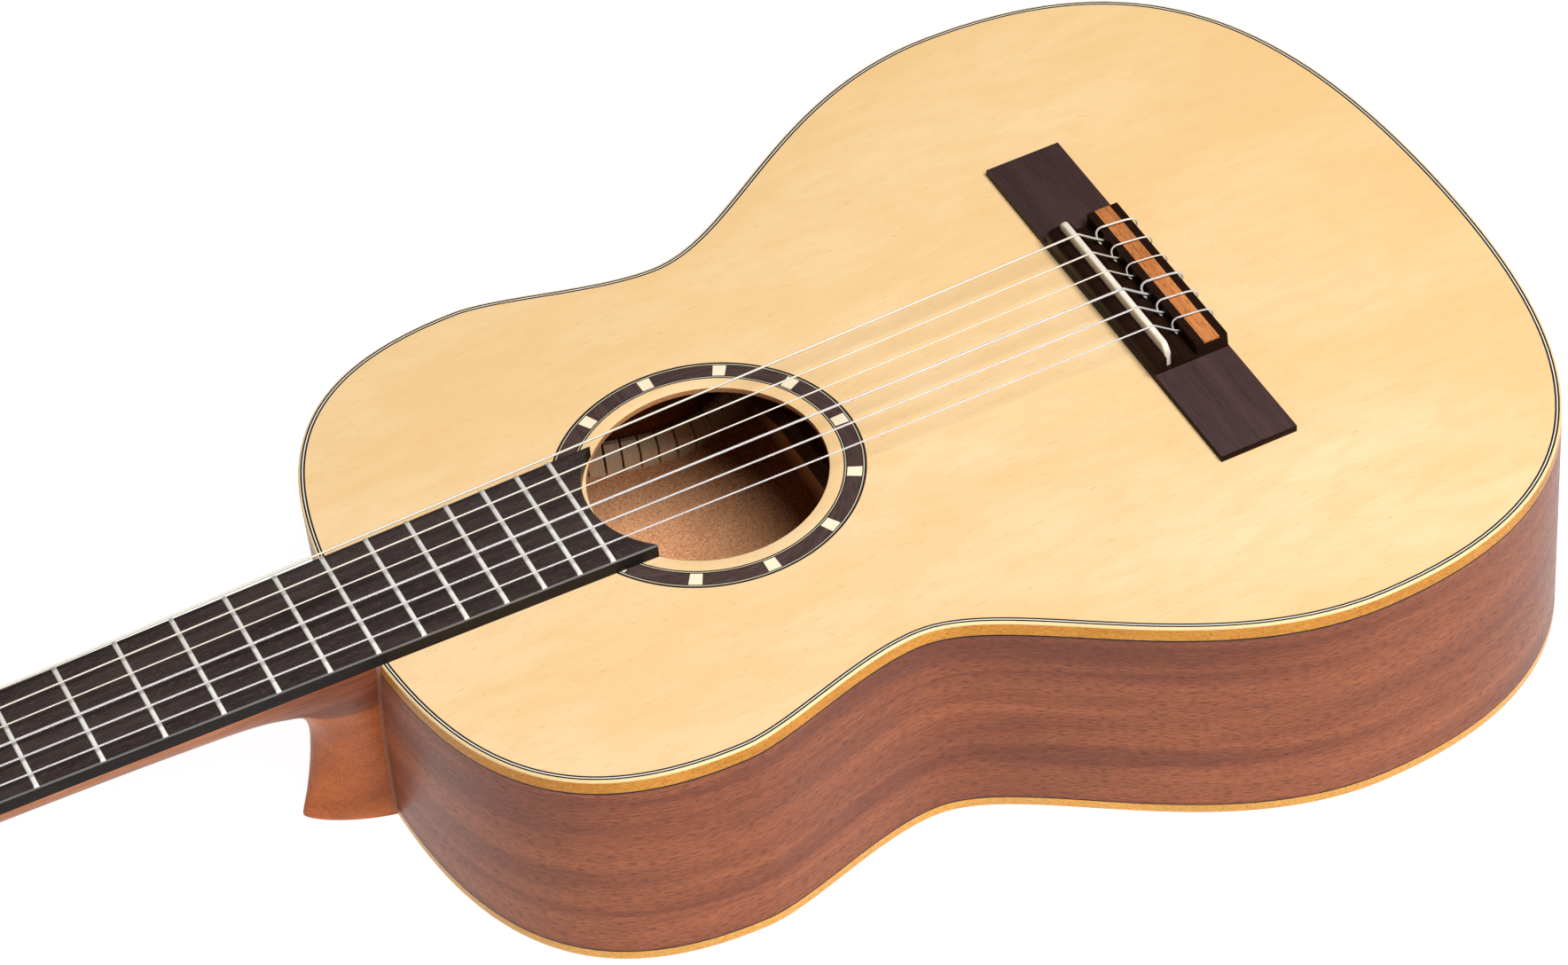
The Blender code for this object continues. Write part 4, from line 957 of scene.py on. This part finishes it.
def neck_rows():
    """Rows of (edge y, edge z, half width, bottom y, bottom z, fullness), from the head to the heel."""
    rows = []
    for u, half, depth, fullness in HEAD_ROWS:
        edge, low = head_point(0.0, u, 0.0), head_point(0.0, u, -depth)
        rows.append((edge.y, edge.z, half, low.y, low.z, fullness))
    rows += [(y, 0.0, board_half(y), y, -depth, 2.0) for y, depth in SHAFT_ROWS]
    for y, z, low_y, low_z in HEEL_ROWS:
        rows.append((y, z, HEEL_HALF.get(z, board_half(y)), low_y, low_z, 2.0 + 0.55 * z / 98.4))
    return rows


def neck_body():
    """The shaft and heel: rounded undersides through the rows, whose edges stay straight between the rows."""
    steps, across_steps = 5, 36
    rough = neck_rows()
    loops = []
    for index, (_, _, half, low_y, low_z, fullness) in enumerate(catmull(rough, steps)):
        a, b = (rough[min(index // steps + more, len(rough) - 1)] for more in (0, 1))
        t = (index % steps) / steps
        edge_y, edge_z = a[0] + (b[0] - a[0]) * t, a[1] + (b[1] - a[1]) * t
        loop = []
        for angle in (pi * k / across_steps for k in range(across_steps + 1)):
            across = copysign(abs(cos(angle)) ** (2.0 / fullness), cos(angle))
            down = max(0.0, sin(angle)) ** (2.0 / fullness)
            loop.append((half * across, edge_y + (low_y - edge_y) * down, edge_z + (low_z - edge_z) * down))
        loops.append(loop)
    return lofted(loops)


def head_prism(outline, low, high):
    return lofted([[head_point(x, u, n) for x, u in outline] for n in (low, high)])


def head_outline(start):
    half = [(min(x, HEAD_HALF), u) for u, x in catmull(HEAD_OUTLINE + CREST, 4) if u >= start - 0.01]
    return half + [(-x, u) for x, u in half[-2::-1]]


def slot_cutter(side):
    points = []
    for centre, turn in ((SLOT_TO - SLOT_HALF_WIDTH, 0.0), (SLOT_FROM + SLOT_HALF_WIDTH, pi)):
        for angle in (turn + pi * k / 16.0 for k in range(17)):
            across, along = SLOT_HALF_WIDTH * cos(angle), SLOT_HALF_WIDTH * sin(angle)
            points.append((side * SLOT_X + across, centre + along))
    return head_prism(points, -HEAD_THICK - 4.0, VENEER_THICK + 4.0)


def roller_bores(side, inner, outer, sides):
    """Cutters for the three holes that the rollers run in, from x inner to x outer."""
    made = []
    for u in ROLLER_U:
        ends = ((side * inner, JOURNAL_HOLE_R), (side * outer, JOURNAL_HOLE_R))
        made.append(lathe_x(ends, sides, head_point(0.0, u, ROLLER_N).yz))
    return made


def make_neck():
    bm = combine(neck_body(), [head_prism(head_outline(14.0), -HEAD_THICK, 0.0)], "UNION")
    cutters = []
    for side in (1.0, -1.0):
        cutters += [slot_cutter(side)] + roller_bores(side, 3.0, 40.0, 32)
    piece("neck", combine(bm, cutters, "DIFFERENCE"), "neck", smooth=32.0)
    veneer = head_prism(head_outline(0.0), GAP, GAP + VENEER_THICK)
    veneer = combine(veneer, [slot_cutter(side) for side in (1.0, -1.0)], "DIFFERENCE")
    piece("head_veneer", veneer, "veneer", bevel=0.35)


def make_fingerboard():
    """The board with its hollowed end, fine bevels along the top edges with a painted highlight, and darker
    sides.
    """
    tip = board_half(BOARD_TIP_Y)
    sagitta = BOARD_END_Y - BOARD_TIP_Y
    radius = (tip * tip + sagitta * sagitta) / (2.0 * sagitta)
    outline = [(-board_half(-GAP), -GAP), (board_half(-GAP), -GAP)]
    for angle in (asin(tip / radius) * (1.0 - k / 20.0) for k in range(41)):
        outline.append((radius * sin(angle), BOARD_END_Y - radius + radius * cos(angle)))
    loops = []
    for z, shrink in ((0.02, 0.0), (BOARD_THICK - 0.6, 0.0), (BOARD_THICK, BOARD_BEVEL)):
        loop = []
        for x, y in outline:
            half = board_half(y)
            back = 0.2 * shrink if y < BOARD_END_Y + 1.0 else 0.0
            loop.append((x * (half - shrink) / half, y + back, z))
        loops.append(loop)
    bm = lofted(loops)
    for face in bm.faces:
        # Faces of middling slope are the bevels, which take the painted highlight.
        face.material_index = 1 if face.normal.z < 0.3 else 2 if face.normal.z < 0.95 else 0
    piece("fingerboard", bm, "board board_side board_edge")


def make_fret(n):
    """A rounded crown with bevelled and softened ends."""
    y = -SCALE_LENGTH * (1.0 - 2.0 ** (-n / 12.0))
    half = board_half(y) - 0.25
    ends = [(back - half, rise) for back, rise in ((0.0, 0.08), (0.25, 0.45), (0.55, 0.8), (0.95, 1.0))]
    ends += [(-x, rise) for x, rise in reversed(ends)]
    angles = [pi * k / 12 for k in range(13)]
    loops = []
    for x, rise in ends:
        loops.append([(x, y + CROWN_WIDTH / 2.0 * cos(a), BOARD_THICK + FRET_HEIGHT * rise * sin(a) ** 0.8)
                      for a in angles])
    piece(f"fret_{n}", lofted(loops), "fret", grain_x, smooth=50.0)


def make_nut():
    """A bone strip with a round groove for each string."""
    half = NECK_W / 2.0
    section = [(half, 0.02), (-half, 0.02), (-half, NUT_TOP - 1.0), (-half + 0.3, NUT_TOP - 0.3)]
    section += [(-half + 1.0, NUT_TOP)]
    for _, radius, x, _ in reversed(STRINGS):
        wide = radius + 0.12
        section.append((x - wide, NUT_TOP))
        for angle in (pi * k / 8.0 for k in range(9)):
            section.append((x - wide * cos(angle), NUT_REST + wide - wide * sin(angle)))
        section.append((x + wide, NUT_TOP))
    section += [(half - 1.0, NUT_TOP), (half - 0.3, NUT_TOP - 0.3), (half, NUT_TOP - 1.0)]
    loops = []
    for y, drop in ((0.0, 0.35), (0.35, 0.0), (2.6, 0.0), (NUT_THICK - 0.5, 0.5), (NUT_THICK, 1.1)):
        shares = [1.0 if z > NUT_REST + 0.5 else 0.4 if z > 1.0 else 0.0 for _, z in section]
        loops.append([(x, y, z - share * drop) for (x, z), share in zip(section, shares)])
    piece("nut", lofted(loops), "bone", grain_x)


# ---------------------------------------------------------------- bridge


def make_bridge():
    """Wings whose sides take the darker wood as painted shade, the rounded ridge with the saddle's slot, and
    the tie block with its inlay.
    """
    half = BRIDGE_CENTRE_HALF
    front = BRIDGE_FRONT_Y - 0.05
    wings = block((-BRIDGE_HALF, BRIDGE_HALF), (BRIDGE_BACK_Y, BRIDGE_FRONT_Y), (0.02, BRIDGE_THICK))
    # The wings' side faces take the darker wood as painted shade.
    for face in wings.faces:
        face.material_index = 0 if face.normal.z > 0.5 else 1
    profile = [(front, 1.0)]
    profile += catmull([(front, 6.4), (front - 0.5, 8.1), (front - 2.2, 9.4), (front - 4.6, RIDGE_TOP)], 5)
    profile += [
        (-653.2, RIDGE_TOP), (-654.2, RIDGE_TOP - 0.3), (-655.0, RIDGE_TOP - 1.0), (-656.0, RIDGE_TOP - 2.5),
        (-656.9, TROUGH_Z + 0.9), (-657.8, TROUGH_Z), (BLOCK_FRONT_Y, TROUGH_Z), (BLOCK_FRONT_Y, BLOCK_TOP),
        (BRIDGE_BACK_Y + 0.8, BLOCK_TOP), (BRIDGE_BACK_Y + 0.3, 1.0),
    ]
    centre = lofted([[(x, y, z) for y, z in profile] for x in (-half, half)])
    reach = SADDLE_THICK / 2.0 + 0.04
    slot_x, slot_y = (-half - 1.0, SADDLE_HALF + 0.05), (SADDLE_Y - reach, SADDLE_Y + reach)
    cutters = [
        block(slot_x, slot_y, (SADDLE_FOOT - 0.05, RIDGE_TOP + 3.0)),
        block((-half - 2.0, half + 2.0), CHANNEL_Y, (BLOCK_TOP - CHANNEL_DEPTH, BLOCK_TOP + 3.0)),
    ]
    through = (BRIDGE_BACK_Y - 2.0, BLOCK_FRONT_Y + 2.0)
    for _, radius, _, x in STRINGS:
        outline = ring_points(radius + 0.35, 20, (x, TIE_HOLE_Z))
        cutters.append(lofted([[(a, y, b) for a, b in outline] for y in through]))
    for part in [centre] + cutters:
        for face in part.faces:
            face.material_index = 1
    bridge = combine(combine(wings, [centre], "UNION"), cutters, "DIFFERENCE")
    piece("bridge", bridge, "bridge bridge_dark", grain_x, bevel=0.22)
    strip = (CHANNEL_Y[0] + 0.04, CHANNEL_Y[1] - 0.04)
    inlay = block((-half, half), strip, (BLOCK_TOP - CHANNEL_DEPTH + 0.05, BLOCK_TOP + 0.03))
    piece("tie_block_inlay", inlay, "orange", grain_x, bevel=0.08)


def make_saddle():
    """A bone strip with a rounded top, rounded over at the bass end and sloping down at the treble end."""
    bass, treble = SADDLE_HALF, -SADDLE_HALF
    top = catmull([(bass, -3.4), (bass - 0.4, -1.7), (bass - 1.4, -0.45), (bass - 3.0, 0.0)], 5)
    top += [(treble + 3.0, 0.0), (treble + 2.1, -0.4), (treble + 0.4, -2.4), (treble, -3.2)]
    loops = []
    for angle in (pi * k / 8.0 for k in range(9)):
        y = SADDLE_Y - SADDLE_THICK / 2.0 * cos(angle)
        level = SADDLE_TOP - 1.1 * (1.0 - sin(angle) ** 0.6)
        crown = [(x, y, level + z) for x, z in top]
        loops.append([(bass, y, SADDLE_FOOT)] + crown + [(treble, y, SADDLE_FOOT)])
    piece("saddle", lofted(loops), "bone", grain_x, smooth=50.0)


# ---------------------------------------------------------------- strings


def roller_spot(index):
    """The side of a string's roller, its place from the nut, and the x at which the string meets it."""
    side, place = (1.0, index) if index < 3 else (-1.0, 5 - index)
    return side, place, side * ROLLER_STRING_X[place]


def string_path(index):
    """The string from its roller over the nut and the saddle to the tie, with the tie's loop rounded."""
    _, radius, nut_x, x = STRINGS[index]
    _, place, roller_x = roller_spot(index)
    rest = NUT_REST + 0.05 + radius
    bend = Vector((nut_x, NUT_THICK + 0.2, rest))
    axis = head_point(0.0, ROLLER_U[place], ROLLER_N)
    hang = ROLLER_R + radius
    away = hypot(axis.y - bend.y, axis.z - bend.z)
    aim = atan2(axis.z - bend.z, axis.y - bend.y) + asin(hang / away)
    run = sqrt(away * away - hang * hang)
    end = (roller_x, bend.y + run * cos(aim), bend.z + run * sin(aim))
    over = SADDLE_TOP + 0.02 + radius
    above = BLOCK_TOP + radius + 0.15
    front = BLOCK_FRONT_Y + radius + 0.25
    rear = BRIDGE_BACK_Y + 0.1 - radius
    foot = TIE_HOLE_Z - 2.0 * radius
    saddle = [(x, SADDLE_Y + 1.3, over - 0.1), (x, SADDLE_Y + 0.6, over), (x, SADDLE_Y - 0.6, over)]
    tie = [
        (x, SADDLE_Y - 1.3, over - 0.45),
        (x, BLOCK_FRONT_Y + 0.8, TIE_HOLE_Z),
        (x, BLOCK_FRONT_Y - 2.0, TIE_HOLE_Z),
        (x, BRIDGE_BACK_Y + 2.0, TIE_HOLE_Z),
        (x, BRIDGE_BACK_Y - 0.1, TIE_HOLE_Z),
        (x, rear - 0.5, TIE_HOLE_Z + 0.9),
        (x + 0.1, rear - 0.3, above - 1.1),
        (x + 0.4, rear + 0.9, above + 0.1),
        (x + 1.1, rear + 4.0, above + 0.5),
        (x + 2.0, front - 3.0, above + 0.6),
        (x + 2.4, front - 1.0, above + 0.3),
        (x + 2.5, front + 0.4, above - 0.6),
        (x + 2.2, front + 1.1, above - 1.9),
        (x + 1.4, front + 1.1, TIE_HOLE_Z - 0.1),
        (x + 0.5, front + 0.7, foot - 0.4),
        (x - 0.4, front + 0.3, foot - 0.5),
    ]
    return [Vector(p) for p in [end, bend, (nut_x, 0.0, rest)] + saddle + catmull(tie, 6)]


def make_string(index):
    name, radius, _, _ = STRINGS[index]
    kind, share = ("wound", WOUND_SHARE) if index < WOUND else ("nylon", 1.0)
    bm = bmesh.new()
    tube(bm, string_path(index), radius * share, 14)
    piece(f"string_{name}", bm, kind, smooth=60.0)


# ---------------------------------------------------------------- tuning machines


def head_frame(x, u):
    """The frame of a roller or a button: its x is the guitar's and its z stands up from the head's face."""
    return Matrix.Translation(head_point(x, u, ROLLER_N) * MM) @ Matrix.Rotation(-HEAD_ANGLE, 4, "X")


def rounded_rectangle(x0, x1, y0, y1, radius, steps=6):
    points = []
    for cx, cy, turn in ((x1 - radius, y1 - radius, 0.0), (x0 + radius, y1 - radius, 0.5),
                         (x0 + radius, y0 + radius, 1.0), (x1 - radius, y0 + radius, 1.5)):
        for angle in (pi * (turn + 0.5 * k / steps) for k in range(steps + 1)):
            points.append((cx + radius * cos(angle), cy + radius * sin(angle)))
    return points


def make_plate(side):
    """The side plate with its bearing posts, and its mounting screws."""
    label = "bass" if side > 0 else "treble"
    outer = side * (PLATE_X + PLATE_THICK)
    face = rounded_rectangle(42.0, 148.0, -16.4, 0.6, 2.6)
    bm = lofted([[head_point(x, u, n) for u, n in face] for x in (side * PLATE_X, outer)])
    bm = combine(bm, roller_bores(side, 30.0, 34.5, 28), "DIFFERENCE")
    arc = [(37.3 + POST_R * sin(pi * k / 12.0), -POST_R * cos(pi * k / 12.0)) for k in range(13)]
    outline = [(32.9, -POST_R)] + arc + [(32.9, POST_R)]
    posts, shafts = [], []
    for u in (u + GEAR_PITCH_R + WORM_PITCH_R for u in ROLLER_U):
        for low in (ROLLER_N + 5.5, ROLLER_N - 7.7):
            ends = (low, low + 2.2)
            posts.append(lofted([[head_point(side * x, u + b, n) for x, b in outline] for n in ends]))
        ring = [(side * GEAR_X + a, u + b) for a, b in ring_points(1.75, 24)]
        shafts.append(head_prism(ring, ROLLER_N - 9.0, ROLLER_N + 9.0))
    bm = combine(combine(bm, posts, "UNION"), shafts, "DIFFERENCE")
    piece(f"tuner_plate_{label}", bm, "brass", bevel=0.18)
    screws, slots = bmesh.new(), bmesh.new()
    for u, n in SCREWS:
        dome = [(rise, ring_points(radius, 20)) for rise, radius in SCREW_DOME]
        for made, rings in ((screws, dome), (slots, [(rise, SCREW_SLOT) for rise in (0.5, 2.0)])):
            stations = [(outer + side * rise, ring) for rise, ring in rings]
            loft(made, [[head_point(x, u + a, n + b) for a, b in ring] for x, ring in stations])
    piece(f"plate_screws_{label}", combine(screws, [slots], "DIFFERENCE"), "steel", new=True)


def coil_points(radius, start, pitch, sides):
    """Points of a helix about the x axis, from x start at the top, which moves by pitch each turn."""
    angles = [pi / 2.0 + 2.0 * pi * k / sides for k in range(COIL_TURNS * sides + 1)]
    step = pitch / sides
    return [Vector((start + step * k, radius * cos(a), radius * sin(a))) for k, a in enumerate(angles)]


def gear_loop(x, turn, trim):
    points = []
    for middle in (2.0 * pi * k / GEAR_TEETH + turn for k in range(GEAR_TEETH)):
        for radius, width in TOOTH:
            angle = middle + width / 2.0 / radius
            points.append((x, (radius - trim) * cos(angle), (radius - trim) * sin(angle)))
    return points


def make_roller(index):
    """A string roller on its journals, with the coil of string on it and its brass worm gear."""
    side, place, string_x = roller_spot(index)
    name, radius, _, _ = STRINGS[index]
    profile = (
        (3.6, 2.6), (4.0, JOURNAL_R), (7.4, JOURNAL_R), (7.4, ROLLER_R - 0.3), (7.7, ROLLER_R),
        (21.3, ROLLER_R), (21.6, ROLLER_R - 0.3), (21.6, JOURNAL_R), (35.2, JOURNAL_R),
        (38.9, JOURNAL_R - 0.4), (39.3, 1.6),
    )
    bm = lathe_x([(side * x, r) for x, r in profile], 40, numbers=[0] * 7 + [1] * 3)
    tube(bm, coil_points(ROLLER_R + radius, string_x, side * (2.0 * radius + 0.05), 28), radius, 10, 2)
    lean = side * WORM_LEAD / (2.0 * pi * WORM_PITCH_R) / GEAR_PITCH_R
    edge = GEAR_WIDTH / 2.0
    stations = ((-edge, 0.25), (0.25 - edge, 0.0), (edge - 0.25, 0.0), (edge, 0.25))
    loft(bm, [gear_loop(side * GEAR_X + x, lean * x, trim) for x, trim in stations], number=1)
    string = "wound" if index < WOUND else "nylon"
    piece(f"string_roller_{name}", bm, f"roller brass {string}", body=f"roller_{name}",
          smooth=38.0, place=head_frame(0.0, ROLLER_U[place]))


def worm_thread(bm, hand):
    """A single-start thread about the z axis, tapering away at both ends."""
    around = 32
    steps = around * WORM_TURNS
    loops = []
    for k in range(steps + 1):
        angle = hand * 2.0 * pi * k / around - pi / 2.0
        rise = WORM_LEAD * (k / around - WORM_TURNS / 2.0)
        top = 1.5 + 1.55 * min(1.0, k / 6.0, (steps - k) / 6.0)
        section = ((-0.8, 1.3), (-0.75, 1.6), (-0.3, top), (0.3, top), (0.75, 1.6), (0.8, 1.3))
        loops.append([(radius * cos(angle), radius * sin(angle), rise + shift) for shift, radius in section])
    loft(bm, loops)


def make_button(index):
    """A pearl button on its worm shaft."""
    side, place, _ = roller_spot(index)
    name = STRINGS[index][0]
    shaft = (
        (8.7, 0.9), (8.5, 1.25), (8.2, SHAFT_R), (-13.2, SHAFT_R), (-13.3, 2.3), (-13.6, 2.45), (-14.2, 2.45),
        (-14.5, 2.2), (-16.5, 2.2),
    )
    knob = catmull(
        [(-14.6, 2.0, 2.4), (-15.4, 2.5, 3.4), (-17.0, 3.1, 5.6), (-20.5, 3.9, 8.1), (-26.0, 4.3, 8.8),
         (-30.5, 3.7, 7.4), (-32.3, 2.4, 4.8), (-32.8, 0.8, 1.6)], 5)
    bm = lofted([[(a, b, z) for a, b in ring_points(r, 32)] for z, r in shaft])
    ring = ring_points(1.0, 40)
    loft(bm, [[(a * across, b * along, z) for a, b in ring] for z, across, along in knob], number=1)
    worm_thread(bm, side)
    turn = head_frame(side * GEAR_X, ROLLER_U[place] + GEAR_PITCH_R + WORM_PITCH_R)
    piece(f"tuner_button_{name}", bm, "brass pearl", body=f"button_{name}", smooth=40.0,
          place=turn)


# ---------------------------------------------------------------- studio


def make_floor():
    bm = bmesh.new()
    bm.faces.new([bm.verts.new((x * MM, y * MM, -0.6 * MM)) for x, y in ring_points(9000.0, 48)])
    floor = new_object("floor", bm)
    m = Nodes("floor_paper", 0.9)
    cloud = m.noise(m.object((0.004, 0.004, 0.004)), 3.0)
    shade = m.ramp(cloud, (0.3, 0.21), (0.7, 0.24))
    m.tree.links.new(shade, m.shader.inputs["Base Color"])
    m.set(specular_ior_level=0.0, emission_color=(1.0, 1.0, 1.0, 1.0), emission_strength=0.97)
    floor.data.materials.append(m.material)


def make_world():
    """A white background with a faint ambient light."""
    world = bpy.data.worlds.new("studio")
    bpy.context.scene.world = world
    world.use_nodes = True
    tree = world.node_tree
    background = tree.nodes["Background"]
    background.inputs["Color"].default_value = (1.0, 1.0, 1.0, 1.0)
    strength = tree.nodes.new("ShaderNodeMapRange")
    strength.inputs["To Min"].default_value = AMBIENT
    strength.inputs["To Max"].default_value = 1.0
    tree.links.new(tree.nodes.new("ShaderNodeLightPath").outputs["Is Camera Ray"], strength.inputs["Value"])
    tree.links.new(strength.outputs[0], background.inputs["Strength"])


def make_studio():
    """A large round light over the treble side, and the camera."""
    scene = bpy.context.scene
    scene.view_settings.view_transform = "Standard"
    lamp = bpy.data.lights.new("key", "AREA")
    lamp.shape = "DISK"
    lamp.size = KEY_SIZE
    lamp.energy = KEY_POWER
    light = bpy.data.objects.new("key", lamp)
    light.location = KEY_PLACE
    light.rotation_euler = (Vector(KEY_TARGET) - Vector(KEY_PLACE)).to_track_quat("-Z", "Y").to_euler()
    scene.collection.objects.link(light)
    camera = bpy.data.objects.new("camera", bpy.data.cameras.new("camera"))
    camera.data.lens = CAMERA_LENS
    camera.data.sensor_width = 36.0
    camera.data.clip_start = 0.05
    camera.data.clip_end = 60.0
    camera.location = CAMERA_PLACE
    camera.rotation_euler = tuple(radians(a) for a in CAMERA_TURN)
    scene.collection.objects.link(camera)
    scene.camera = camera


make_soundboard()
make_rosette()
make_bindings()
make_back()
make_ribs()
make_linings()
carry_over()
make_neck()
make_fingerboard()
for number in range(1, FRETS + 1):
    make_fret(number)
make_nut()
make_bridge()
make_saddle()
for end in (1.0, -1.0):
    make_plate(end)
for item in range(len(STRINGS)):
    make_string(item)
    make_roller(item)
    make_button(item)
make_floor()
make_world()
make_studio()
